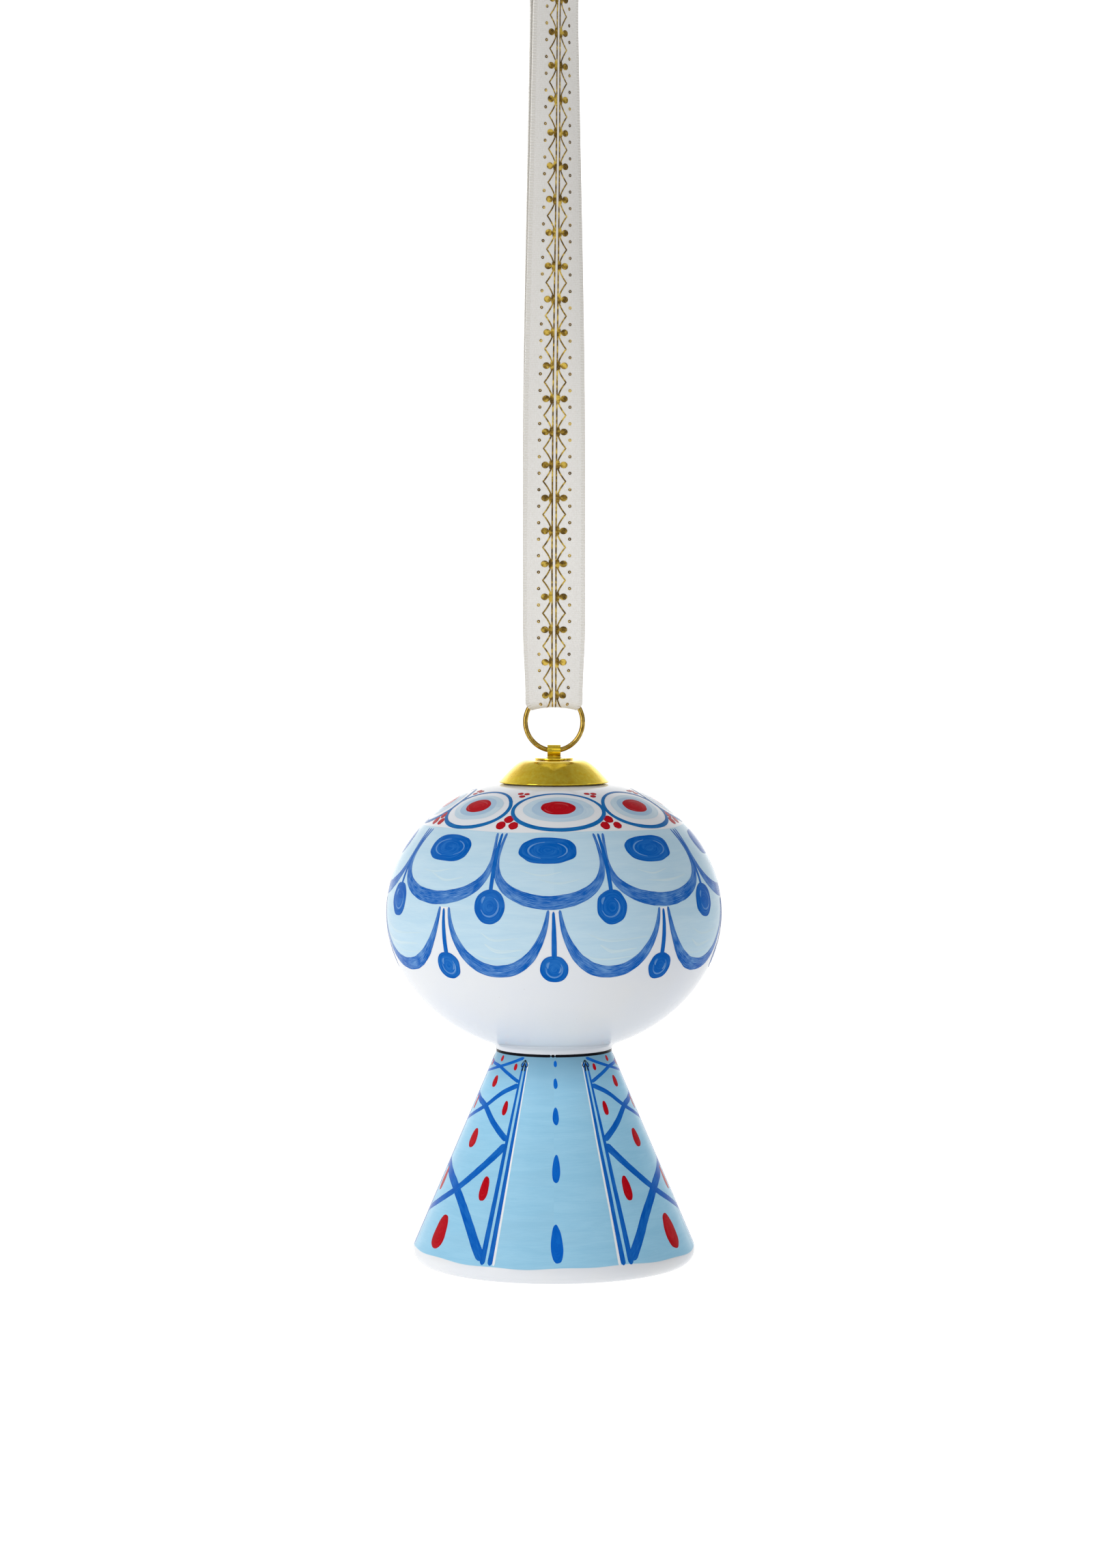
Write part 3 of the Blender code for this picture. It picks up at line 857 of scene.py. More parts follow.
def paint_pale_streaks():
    """Loose paler passes of the brush inside the light blue."""
    layer = Layer("pale_streaks", wash("pale_streak_wash", (196, 224, 238), (214, 234, 243)), 1)
    for start, end in spans(FANS):
        centre, half = (start + end) / 2, (end - start) / 2
        for shift, lat, width in ((-3.0, 20.5, 0.0003), (3.0, 17.4, 0.0004)):
            reach = half * random.uniform(0.25, 0.5)
            wave = random.uniform(-1.5, 1.5)
            points = [
                (centre + shift - reach, lat + 1.8 + wave, width * 0.3),
                (centre + shift, lat, width),
                (centre + shift + reach, lat + 1.5, width * 0.4),
            ]
            layer.stroke(points)
    for start, end in spans(PENDANTS):
        centre, half = (start + end) / 2, (end - start) / 2
        for lat, width in ((-6.0, 0.0004), (-10.5, 0.0006), (-13.5, 0.0003)):
            reach = half * random.uniform(0.28, 0.55)
            shift = random.uniform(-0.15, 0.15) * half
            points = [
                (centre + shift - reach, lat + 3.4, width * 0.3),
                (centre + shift - reach * 0.3, lat + 0.6, width),
                (centre + shift + reach, lat + 1.6, width * 0.3),
            ]
            layer.stroke(points)
    layer.finish()


def paint_swags(blue):
    swags = Layer("deep_blue_swags", blue, 2)
    for start, end in spans(FANS):
        centre, half = (start + end) / 2, (end - start) / 2 - 1.0
        low = SWAG_LOW_LAT + random.uniform(-0.5, 0.5)
        swags.stroke(swag_points(SWAG, centre, half, BAND_LAT - 0.7, low), columns=7)
    for start, end in spans(PENDANTS):
        centre, half = (start + end) / 2, (end - start) / 2 - ROW_TWO_INSET
        points = swag_points(LOW_SWAG, centre, half, ROW_TWO_LAT, ROW_TWO_LOW_LAT)
        swags.stroke(points, columns=7)
    swags.finish()


def paint_balls(blue):
    """The hanging stems with their balls, and the oval inside each upper swag."""
    balls = Layer("deep_blue_balls", blue, 3)
    for theta in FANS:
        lean = random.uniform(-0.6, 1.0)
        points = [
            (theta, BAND_LAT - 0.8, 0.00038),
            (theta + lean * 0.5, 27.0, 0.00062),
            (theta + lean, 13.0, 0.00066),
        ]
        balls.stroke(points)
        balls.blob((theta + lean, BALL_LAT), (0.00262, 0.00275), random.uniform(-9, 9), 2.1)
    for theta in PENDANTS:
        points = [
            (theta - 0.2, ROW_TWO_LAT - 0.6, 0.00040),
            (theta, -3.0, 0.00075),
            (theta + 0.1, -12.5, 0.00085),
        ]
        balls.stroke(points)
        balls.blob((theta + 0.1, PENDANT_LAT), (0.00228, 0.00235), random.uniform(-9, 9), 2.1)
    for start, end in spans(FANS):
        centre = (start + end) / 2 + OVAL_SHIFT
        tilt = random.uniform(-5.0, 5.0)
        balls.blob((centre, OVAL_LAT), (0.00456, 0.00245), tilt, 2.5, rough=0.045)
    balls.finish()


# (shift, latitude, half width, half height, start angle, end angle, width) of each paler stroke
BALL_ARCS = (
    (0.3, BALL_LAT, 3.2, 3.9, 200, 420, 0.00030),
    (-1.2, 9.6, 1.3, 2.0, 100, 200, 0.00045),
)
PENDANT_ARCS = (
    (0.1, PENDANT_LAT, 2.9, 3.5, 170, 400, 0.00028),
    (-1.0, -15.6, 1.2, 1.8, 110, 210, 0.00042),
    (1.4, -16.6, 1.0, 1.9, 280, 380, 0.00034),
)
OVAL_ARCS = (
    (0.0, OVAL_LAT, 7.6, 3.7, 100, 250, 0.00030),
    (0.0, OVAL_LAT, 7.4, 3.6, -60, 60, 0.00026),
)
RED_ARCS = (
    (-0.2, 52.1, 6.2, 2.5, 20, 110, 0.00034),
    (-0.2, 52.1, 7.4, 3.1, 190, 250, 0.00022),
)


def paint_ball_lights(blue_light):
    """Paler rings of the brush inside the balls and ovals."""
    lights = Layer("brush_lights", blue_light, 4)
    ovals = [(start + end) / 2 + OVAL_SHIFT for start, end in spans(FANS)]
    for thetas, arcs in ((FANS, BALL_ARCS), (PENDANTS, PENDANT_ARCS), (ovals, OVAL_ARCS)):
        for theta in thetas:
            for shape in arcs:
                lights.stroke(ring_arc(theta, *shape))
    lights.finish()


def ring_arc(theta, shift, lat, side, up, start, end, width):
    """Points of a thin stroke round part of an oval, fading at both ends."""
    theta += shift
    count = 6
    points = []
    for i in range(count + 1):
        angle = math.radians(start + (end - start) * i / count)
        fade = math.sin(math.pi * (i + 0.6) / (count + 1.2))
        points.append((theta + side * math.cos(angle), lat + up * math.sin(angle), width * fade))
    return points


# (level, shift, latitude, share of half width, half height, power, roughness) of each disc
MEDALLION_DISCS = (
    (1, 0.0, 51.7, 0.77, 7.4, 2.1, 0.02),
    (2, -0.3, 51.9, 0.575, 5.6, 2.1, 0.02),
    (3, -0.2, 52.1, 0.39, 3.9, 2.05, 0.025),
)


def paint_medallions():
    outline = Layer("medallion_outlines", paint("outline_blue", (0, 92, 166), (36, 122, 190)), 2)
    pale_blue = wash("disc_pale_blue", (190, 214, 232), (208, 227, 239))
    blue = wash("disc_blue", (166, 197, 224), (182, 208, 230))
    names = ("medallion_discs", "medallion_inner_discs", "medallion_reds")
    levels = [disc[0] for disc in MEDALLION_DISCS]
    discs = [Layer(*row) for row in zip(names, (pale_blue, blue, RED), levels)]
    for centre, half in zip(MEDALLIONS, medallion_halves()):
        tilt = random.uniform(-1.0, 1.0)
        ring = []
        for i in range(OUTLINE_STEPS + 1):
            angle = 2.0 * math.pi * i / OUTLINE_STEPS + OUTLINE_START
            width = 0.00062 - 0.00014 * math.sin(angle) + random.uniform(-0.00005, 0.00005)
            if i == OUTLINE_STEPS:
                width = ring[0][2]
            lat = MEDALLION_LAT + MEDALLION_TALL * math.sin(angle)
            ring.append((centre + half * math.cos(angle), lat, width))
        outline.stroke(ring, closed=True)
        for layer, (_, shift, lat, share, tall, power, rough) in zip(discs, MEDALLION_DISCS):
            size = (half * share, tall)
            layer.blob((centre + shift, lat), size, tilt, power, degrees=True, rough=rough)
    for layer in [outline] + discs:
        layer.finish()


def medallion_halves():
    """Half the width in degrees of each medallion, so that neighbours just touch."""
    gaps = [end - start for start, end in spans(MEDALLIONS)]
    return [min(gaps[i - 1], gaps[i]) / 2 + 0.25 for i in range(len(MEDALLIONS))]


# (places, size, variation, stretch, tilt) of the dots below and above each gap
DOT_GROUPS = (
    (((0.0, 45.3), (-2.9, 42.2), (3.2, 42.2)), 0.00078, 0.00006, (1.0, 1.02), 30),
    (((-2.6, 61.9), (2.4, 61.7), (0.2, 59.6)), 0.00046, 0.00004, (1.15, 1.0), 20),
)


def paint_red_dots():
    """Three small dots above each gap between medallions and three larger ones below it."""
    dots = Layer("red_dots", RED, 2)
    for start, end in spans(MEDALLIONS):
        for places, size, vary, stretch, tilt in DOT_GROUPS:
            for theta, lat in places:
                real = size + random.uniform(-vary, vary)
                half = (real * stretch[0], real * stretch[1])
                turn = random.uniform(-tilt, tilt)
                dots.blob(((start + end) / 2 + theta, lat), half, turn, rough=0.06)
    dots.finish()


def paint_red_lights():
    lights = Layer("red_lights", paint("light_red", (184, 26, 38), (206, 84, 88), 0.60), 4)
    for centre in MEDALLIONS:
        for shape in RED_ARCS:
            lights.stroke(ring_arc(centre, *shape))
    lights.finish()


# Decoration of the skirt

DROPS = (
    (-0.0243, 0.00055, 0.00028),
    (-0.0274, 0.00090, 0.00036),
    (-0.0325, 0.00150, 0.00052),
    (-0.0407, 0.00240, 0.00068),
    (-0.0522, 0.00325, 0.00104),
)
SIDE_REDS = ((-0.02505, 0.00060, 0.00030), (-0.0316, 0.00125, 0.00045), (-0.0443, 0.00210, 0.00080))
MIDDLE_REDS = (
    (-0.0240, 0.00052, 0.00040),
    (-0.0277, 0.00102, 0.00068),
    (-0.0369, 0.00165, 0.00105),
    (-0.0520, 0.00300, 0.00185),
)
# Heights of each lattice stroke at even steps from the panel's near edge to its far one
LATTICE = (
    ((-0.0235, -0.0245, -0.0253, -0.0260, -0.0266), 0.00036),
    ((-0.0274, -0.0262, -0.0253, -0.0250, -0.0246), 0.00038),
    ((-0.0278, -0.0293, -0.0316, -0.0332, -0.0346), 0.00056),
    ((-0.0366, -0.0341, -0.0318, -0.0309, -0.0301), 0.00068),
    ((-0.0372, -0.0414, -0.0451, -0.0477, -0.0498), 0.00086),
    ((-0.0553, -0.0489, -0.0450, -0.0429, -0.0414), 0.00112),
)
PANEL_EDGE = 31.6
PANEL_LINE = 27.9
PANEL_WHITE = 26.2
LATTICE_HALF = 120.0 / 2 - PANEL_EDGE


def paint_skirt_wash():
    top = SKIRT_TOP_Z + CENTRE_Z
    # Painted shade under the globe: the skirt's wash is darkest at the neck and gone about 7 mm
    # below it
    painted_shade = ((126, 172, 198), top + 0.0006, top - 0.0068)
    skirt_blue = wash("skirt_blue_wash", (153, 208, 237), (163, 215, 242), (158, 206, 232), painted_shade)
    layer = Layer("skirt_wash", skirt_blue, 0, SKIRT)

    def low_edge(theta):
        turn = math.radians(theta)
        return SKIRT_WASH_Z + 0.00016 * math.sin(turn * 4.0) + 0.00008 * math.sin(turn * 13.0 + 1.0)

    layer.band(lambda theta: SKIRT_TOP_Z, low_edge, 720, 44)
    layer.finish()


def lattice_stroke(middle, side, heights, width):
    """A stroke from the near edge of a lattice panel to its far edge; side is the near one."""
    points = []
    for i, height in enumerate(heights):
        share = i / (len(heights) - 1)
        thick = width * (1.55 - 0.25 * share)
        points.append((middle + side * LATTICE_HALF * (1.0 - 2.0 * share), height, thick))
    return points


def paint_skirt():
    blue = paint("skirt_line_blue", (0, 90, 188), (40, 122, 206), 0.62, rim=0.3)
    lines = Layer("skirt_lines", blue, 1, SKIRT)
    drop_blue = paint("drop_blue", (0, 96, 200), (22, 116, 212), 0.62)
    drops = Layer("skirt_blue_drops", drop_blue, 1, SKIRT)
    white = wash("white_line", (232, 238, 244), (248, 250, 252))
    whites = Layer("skirt_white_lines", white, 1, SKIRT)
    reds = Layer("skirt_red_drops", RED, 2, SKIRT)
    for middle in PANEL_THETAS:
        for height, tall, wide in DROPS:
            drops.blob((middle, height), (wide, tall), random.uniform(-3, 3), 2.2, 0.18)
        for side in (-1.0, 1.0):
            whites.stroke(skirt_line(middle + side * PANEL_WHITE, side * 0.4, 0.00014, 0.00046))
            lines.stroke(skirt_line(middle + side * PANEL_LINE, side * 0.7, 0.00028, 0.00094))
            lines.stroke(skirt_line(middle + side * PANEL_EDGE, side * 0.9, 0.00028, 0.00102))
        near = -1.0 if middle < 180.0 else 1.0
        paint_lattice(lines, reds, middle + 60.0, near)
    for layer in (lines, drops, whites, reds):
        layer.finish()


def skirt_line(theta, drift, thin, thick):
    """A line down the skirt from the neck to the wash's lower edge, thicker at the foot."""
    points = []
    for i in range(6):
        share = i / 5
        height = SKIRT_TOP_Z - 0.0012 + (SKIRT_WASH_Z + 0.0013 - SKIRT_TOP_Z) * share
        wander = random.uniform(-0.12, 0.12) - drift * share * 0.3
        points.append((theta + wander, height, thin + (thick - thin) * share))
    return points


def paint_lattice(lines, reds, middle, side):
    for heights, width in LATTICE:
        lines.stroke(lattice_stroke(middle, side, heights, width))
    for height, tall, wide in MIDDLE_REDS:
        lean = random.uniform(-1.0, 1.0)
        reds.blob((middle + lean, height), (wide, tall), 0.0, 2.3, 0.16)
    for height, tall, wide in SIDE_REDS:
        for edge in (-1.0, 1.0):
            off = edge * (LATTICE_HALF - 7.6 + random.uniform(-0.4, 0.4))
            reds.blob((middle + off, height), (wide * 1.15, tall), 0.0, 2.3, 0.14)


def paint_black():
    """The line round the neck and the small looped knots at the tops of the panel lines."""
    ink = paint("black_ink", (12, 12, 16), (30, 30, 36), 0.62)
    neck = Layer("black_neck_line", ink, 2, SKIRT)
    around = [(theta, SKIRT_TOP_Z - 0.00006, 0.00050) for theta in range(0, 361, 12)]
    neck.stroke(around, closed=True, rough=0.04)
    for middle in PANEL_THETAS:
        for side in (-1.0, 1.0):
            paint_knot(neck, middle + side * (PANEL_LINE + PANEL_EDGE) / 2)
    neck.finish()


# (reach in degrees, height, thickness) along each half of a knot
KNOT_LINE = 0.00013
KNOT_LOOP = (
    (0.0, -0.02385, 1.0),
    (1.6, -0.02415, 1.0),
    (3.4, -0.02465, 1.0),
    (2.2, -0.02495, 1.0),
    (0.4, -0.02450, 1.0),
    (0.0, -0.02385, 1.0),
)
KNOT_TAIL = ((0.3, -0.02440, 1.0), (0.9, -0.02500, 1.2), (1.5, -0.02560, 2.0))


def paint_knot(layer, theta):
    for side in (-1.0, 1.0):
        for shape in (KNOT_LOOP, KNOT_TAIL):
            points = [(theta + side * reach, z, KNOT_LINE * thick) for reach, z, thick in shape]
            layer.stroke(points, step=0.00012, columns=3)


# Gold fittings


STRAP_SLOT = (0.0026, 0.0011, 0.004)


def slotted(obj, height):
    """Cuts the strap's slot through a turned piece."""
    bpy.ops.mesh.primitive_cube_add(size=1.0, location=(0.0, 0.0, height + CENTRE_Z))
    cutter = bpy.context.object
    cutter.scale = STRAP_SLOT
    cut = obj.modifiers.new("slot", "BOOLEAN")
    cut.object = cutter
    bake_modifiers(obj)
    bpy.data.objects.remove(cutter, do_unlink=True)


def bake_modifiers(obj):
    bpy.context.view_layer.update()
    graph = bpy.context.evaluated_depsgraph_get()
    mesh = bpy.data.meshes.new_from_object(obj.evaluated_get(graph))
    old = obj.data
    obj.modifiers.clear()
    obj.data = mesh
    bpy.data.meshes.remove(old)


def bowed(start, end, bow, count):
    """Points from start to end on a shallow curve that stands off the chord by bow."""
    along = Vector(end) - Vector(start)
    across = Vector((-along.y, along.x)).normalized()
    return [
        tuple(Vector(start) + along * t + across * (4.0 * bow * t * (1.0 - t)))
        for t in (i / count for i in range(count + 1))
    ]


# (radius, height) down the outside of the pressed cap, from its flat top to its rim
CAP_CURVE = (
    (0.0034, 0.02545),
    (0.0046, 0.02543),
    (0.0054, 0.02522),
    (0.0062, 0.02474),
    (0.0071, 0.02398),
    (0.0080, 0.02304),
    (0.0087, 0.02228),
    (0.00912, 0.02186),
)
CAP_WALL = 0.0005
CAP_LIP = (0.00898, 0.02184)
CAP_LIP_R = 0.00018
CAP_INNER_RIM = (0.0087, 0.0218)
CAP_CEILING_R = 0.0049


def make_cap():
    top = CAP_CURVE[0][1]
    ceiling = top - CAP_WALL
    outside = [(0.0, top)] + [tuple(point) for point in smooth_path(CAP_CURVE, 5)]
    outside += arc(CAP_LIP, CAP_LIP_R, 10.0, -90.0, 6)
    inside = bowed(CAP_INNER_RIM, (CAP_CEILING_R + 0.0003, ceiling - 0.0001), -0.00022, 12)
    inside += [(CAP_CEILING_R, ceiling), (0.0, ceiling)]
    plate = gold("gold_cap_plate", 0.14, 260.0, 0.16)
    cap = lathe("gold_cap", outside + inside, 160, False, plate)
    slotted(cap, top)
    cap.data.set_sharp_from_angle(angle=SHARP_ANGLE)
    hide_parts("cap")
    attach(cap, "bell")


def make_boss(metal):
    low, high, radius, edge, burr = 0.0255, 0.0258, 0.0032, 0.00014, 0.0001
    profile = [(0.0, high)]
    profile += arc((radius - edge, high - edge), edge, 90.0, 0.0, 6)
    profile += arc((radius - burr, low + burr), burr, 0.0, -90.0, 3)
    profile += [(0.0, low)]
    boss = lathe("gold_boss", profile, 96, False, metal)
    slotted(boss, high)
    boss.data.set_sharp_from_angle(angle=SHARP_ANGLE)
    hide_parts("boss_washer")
    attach(boss, "bell")


def make_ring(metal):
    bpy.ops.mesh.primitive_torus_add(
        major_radius=RING_R, minor_radius=RING_WIRE_R, major_segments=128, minor_segments=24
    )
    ring = bpy.context.object
    place = Matrix.Translation((0.0, 0.0, RING_LOW_Z + RING_R + CENTRE_Z))
    ring.data.transform(place @ Matrix.Rotation(math.pi / 2, 4, "X"))
    ring.name = "gold_ring"
    ring.data.shade_smooth()
    ring.data.materials.append(metal)
    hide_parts("hanging_ring")
    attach(ring, "ring")


def make_strap(metal):
    """The folded strap that wraps the ring, with softened edges."""
    leg, loop, half = 0.00027, 0.00079, 0.0011
    tab_y, tab_z, bend, corner = 0.0026, 0.02468, 0.00045, 0.00012
    low = -90.0 + math.degrees(math.asin(leg / loop))
    side = [(tab_y, tab_z), (leg + bend, tab_z), (leg + corner, tab_z + corner)]
    side += [(leg, tab_z + bend)]
    side += arc((0.0, RING_LOW_Z), loop, low, 90.0, 20)
    path = side + [(-y, z) for y, z in reversed(side[:-1])]
    mesh = bmesh.new()
    rows = [[mesh.verts.new((x, y, z + CENTRE_Z)) for x in (-half, 0.0, half)] for y, z in path]
    for lower, upper in zip(rows, rows[1:]):
        for i in range(2):
            mesh.faces.new((lower[i], lower[i + 1], upper[i + 1], upper[i]))
    strap = mesh_object("gold_strap", mesh, metal)
    thick = strap.modifiers.new("thick", "SOLIDIFY")
    thick.thickness = 0.00033
    thick.offset = 0.0
    thick.use_even_offset = True
    edge = strap.modifiers.new("edge", "BEVEL")
    edge.width = 0.00007
    edge.segments = 3
    edge.angle_limit = SHARP_ANGLE
    bake_modifiers(strap)
    strap.data.shade_smooth()
    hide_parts("strap_eye")
    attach(strap, "bell")


# Ribbon


def ribbon_twist(height):
    share = min(max((height - TWIST_FROM_Z) / (DROP - TWIST_FROM_Z), 0.0), 1.0)
    return TWIST * math.sin(share * math.pi / 2)


def ribbon_curl(height):
    return CURL * ease(CURL_Z[0], CURL_Z[1], height) * (1.0 - ease(CURL_Z[2], CURL_Z[3], height))


def ribbon_point(station, share):
    """A point of a station, which is (off, height, half width, droop), at a share of its half."""
    off, height, half_width, droop = station
    twist = ribbon_twist(height)
    curl = max(ribbon_curl(height), 1e-4)
    radius = half_width / curl
    across = radius * math.sin(curl * share)
    off += radius * (math.cos(curl * share) - math.cos(curl))
    x = across * math.cos(twist) + off * math.sin(twist)
    y = across * math.sin(twist) - off * math.cos(twist)
    return Vector((x, y, height - droop * share * share + CENTRE_Z))


def loop_centre():
    return DROP - RIBBON_THICK / 2 - LOOP_R


def loop_start_z():
    return loop_centre() - LOOP_R * LOOP_R / (loop_centre() - LOOP_FROM_Z)


def fold_row(angle):
    """The ribbon's turn under the ring's top: 0 degrees in front, 90 below, 180 behind."""
    bend = math.radians(angle)
    under = math.sin(bend) ** 2
    return (
        FOLD_R * math.cos(bend),
        FOLD_Z - FOLD_R * math.sin(bend),
        FOLD_HALF_WIDTH - FOLD_NECK * under,
        FOLD_DROOP[0] + (FOLD_DROOP[1] - FOLD_DROOP[0]) * under,
    )


def layer_row(height):
    """(off, height, half width, droop) of the front layer above the fold."""
    tangent = math.asin(LOOP_R / (loop_centre() - LOOP_FROM_Z))
    loop_off = LOOP_R * math.cos(tangent)
    closing = ease(FOLD_Z + CLOSING[0], FOLD_Z + CLOSING[1], height)
    off = FOLD_R + (LAYER_GAP - FOLD_R) * closing
    share = max(height - LOOP_FROM_Z, 0.0) / (loop_start_z() - LOOP_FROM_Z)
    off += (loop_off - LAYER_GAP) * share * share * (2.0 - share)
    wide = ease(FOLD_Z, FOLD_Z + WIDENING, height)
    half_width = FOLD_HALF_WIDTH + (RIBBON_WIDTH / 2 - FOLD_HALF_WIDTH) * wide
    droop = FOLD_DROOP[0] * (1.0 - ease(FOLD_Z, FOLD_Z + FLATTENING, height))
    return off, height, half_width, droop


def ribbon_stations():
    """Stations (off, height, half width, droop) from the fold's middle up the front and round."""
    step = 0.0009
    start = loop_start_z()
    count = round((start - FOLD_Z) / step)
    heights = [FOLD_Z + (start - FOLD_Z) * i / count for i in range(1, count)]
    front = [layer_row(height) for height in heights]
    back = [(-off, height, half, droop) for off, height, half, droop in reversed(front)]
    tangent = math.degrees(math.asin(LOOP_R / (loop_centre() - LOOP_FROM_Z)))
    loop = [
        (off, height, RIBBON_WIDTH / 2, 0.0)
        for off, height in arc((0.0, loop_centre()), LOOP_R, -tangent, 180.0 + tangent, 40)
    ]
    front_fold = [fold_row(90.0 - 90.0 * i / 10) for i in range(11)]
    back_fold = [fold_row(180.0 - 90.0 * i / 10) for i in range(11)]
    return front_fold + front + loop + back + back_fold


def ribbon_frame():
    """The stations and how far along the ribbon's middle each one lies."""
    stations = ribbon_stations()
    centres = [ribbon_point(station, 0.0) for station in stations]
    lengths = [0.0]
    for first, second in zip(centres, centres[1:]):
        lengths.append(lengths[-1] + (second - first).length)
    return stations, lengths


STATIONS, LENGTHS = ribbon_frame()


def station_place(index, share):
    """A station's point at a share of the half width, and the outward normal there."""
    step = 0.02
    station = STATIONS[index]
    across = ribbon_point(station, share + step) - ribbon_point(station, share - step)
    below = ribbon_point(STATIONS[max(index - 1, 0)], share)
    above = ribbon_point(STATIONS[min(index + 1, len(STATIONS) - 1)], share)
    return ribbon_point(station, share), across.cross(above - below).normalized()


def ribbon_at(length, share):
    """The ribbon's middle surface and its outward normal at a length along it."""
    length = length % LENGTHS[-1]
    low = min(bisect.bisect_right(LENGTHS, length) - 1, len(LENGTHS) - 2)
    part = (length - LENGTHS[low]) / (LENGTHS[low + 1] - LENGTHS[low])
    first, first_normal = station_place(low, share)
    second, second_normal = station_place(low + 1, share)
    return first.lerp(second, part), first_normal.lerp(second_normal, part).normalized()


def make_ribbon():
    mesh = bmesh.new()
    weave = mesh.loops.layers.uv.new("weave")
    columns = 24
    shares = [2.0 * i / columns - 1.0 for i in range(columns + 1)]
    rows = []
    for station in STATIONS[:-1]:
        rows.append([mesh.verts.new(ribbon_point(station, share)) for share in shares])
    for index in range(len(rows)):
        lower, upper = rows[index], rows[(index + 1) % len(rows)]
        for i in range(columns):
            face = mesh.faces.new((lower[i], lower[i + 1], upper[i + 1], upper[i]))
            places = ((index, i), (index, i + 1), (index + 1, i + 1), (index + 1, i))
            for loop, (row, column) in zip(face.loops, places):
                loop[weave].uv = (LENGTHS[row] * MM, shares[column] * RIBBON_WIDTH / 2 * MM)
    ribbon = mesh_object("satin_ribbon", mesh, satin())
    thick = ribbon.modifiers.new("thick", "SOLIDIFY")
    thick.thickness = RIBBON_THICK
    thick.offset = 0.0
    bake_modifiers(ribbon)
    ribbon.data.shade_smooth()
    ribbon.data.set_sharp_from_angle(angle=SHARP_ANGLE)
    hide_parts("ribbon")
    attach(ribbon, "ribbon")
    return ribbon


class Print:
    """The foil pattern under construction; later elements lie a little over earlier ones."""

    def __init__(self):
        self.mesh = bmesh.new()
        self.weave = self.mesh.loops.layers.uv.new("weave")
        self.lift = RIBBON_THICK / 2 + FOIL_LIFT

    def corner(self, length, across):
        """A vertex, across in metres from the ribbon's middle, with its place on the ribbon."""
        point, normal = ribbon_at(length, across / (RIBBON_WIDTH / 2))
        return self.mesh.verts.new(point + normal * self.lift), (length, across)

    def face(self, corners):
        face = self.mesh.faces.new([vertex for vertex, _ in corners])
        for loop, (_, place) in zip(face.loops, corners):
            loop[self.weave].uv = (place[0] * MM, place[1] * MM)

    def strip(self, path, width):
        """A line along a path of (length, across)."""
        rows = []
        for index, (length, across) in enumerate(path):
            before = path[max(index - 1, 0)]
            after = path[min(index + 1, len(path) - 1)]
            along = Vector((after[0] - before[0], after[1] - before[1])).normalized()
            off = Vector((-along.y, along.x)) * width / 2
            rows.append([self.corner(length + off.x * s, across + off.y * s) for s in (-1.0, 1.0)])
        for lower, upper in zip(rows, rows[1:]):
            self.face([lower[0], lower[1], upper[1], upper[0]])

    def oval(self, length, across, half, hole=0.0):
        """A filled oval, or a ring where hole is the share of it left open."""
        steps = 20
        angles = [2.0 * math.pi * i / steps for i in range(steps)]

        def ring(reach):
            sizes = half[0] * reach, half[1] * reach
            places = [(sizes[0] * math.cos(a), sizes[1] * math.sin(a)) for a in angles]
            return [self.corner(length + along, across + off) for along, off in places]

        outer = ring(1.0)
        inner = ring(hole) if hole else [self.corner(length, across)] * steps
        for step in range(steps):
            nxt = (step + 1) % steps
            corners = [outer[step], outer[nxt], inner[nxt], inner[step]]
            self.face(corners if hole else corners[:3])


PRINT_PERIOD = 0.00545
LINE_OFF = 0.00033
LINE_WIDTH = 0.00026
CURVE_REACH = (0.00044, 0.00144)
CURVE_WIDTH = 0.00025
# (places along a period, off to the side, half length and half width, open share) of each spot
SPOTS = (
    ((0.0,), 0.00062, (0.00082, 0.00031), 0.0),
    ((0.0,), 0.00155, (0.00056, 0.00064), 0.0),
    ((-0.25, 0.25), 0.00258, (0.00027, 0.00027), 0.30),
)


def make_print():
    """Two centre lines with flared ovals, crossing curves between them, and small rings."""
    foil_print = Print()
    units = round(LENGTHS[-1] / PRINT_PERIOD)
    period = LENGTHS[-1] / units
    middles = [((unit + 0.5) * period, side) for unit in range(units) for side in (-1.0, 1.0)]
    for side in (-1.0, 1.0):
        foil_print.strip([(length, side * LINE_OFF) for length in LENGTHS], LINE_WIDTH)
    foil_print.lift += FOIL_STEP
    for middle, side in middles:
        foil_print.strip(print_curve(middle, side, period), CURVE_WIDTH)
    for shifts, off, half, hole in SPOTS:
        foil_print.lift += FOIL_STEP
        for middle, side in middles:
            for shift in shifts:
                foil_print.oval(middle + period * shift, side * off, half, hole)
    obj = mesh_object("foil_print", foil_print.mesh, foil())
    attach(obj, "ribbon")
    return obj


def print_curve(middle, side, period):
    """A curve that swings out to a point half way between two ovals and back."""
    steps = 40
    near, swing = CURVE_REACH
    curve = []
    for i in range(steps + 1):
        share = i / steps
        reach = (1.0 - abs(2.0 * share - 1.0)) ** 1.6
        curve.append((middle + period * (share - 1.0), side * (near + reach * swing)))
    return curve


# Clapper


def make_ball(glaze):
    radius, middle, bore = 0.0060, -0.0460, 0.00055
    start = math.degrees(math.acos(bore / radius))
    ball = lathe("glazed_ball", arc((0.0, middle), radius, start, -start, 40), 96, True, glaze)
    ball.data.set_sharp_from_angle(angle=SHARP_ANGLE)
    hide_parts("clapper_ball")
    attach(ball, "clapper")


def finish_hidden_nodes(metal):
    """Materials for the CAD nodes that stay."""
    looks = {
        "lap_stitch": thread(),
        "cement_ring": cement(),
        "retaining_plate": metal,
        "hanger_wire": metal,
        "clapper_wire": metal,
        "clapper_stop": metal,
    }
    for name, material in looks.items():
        obj = bpy.data.objects[name]
        obj.data.materials.clear()
        obj.data.materials.append(material)


# Stage

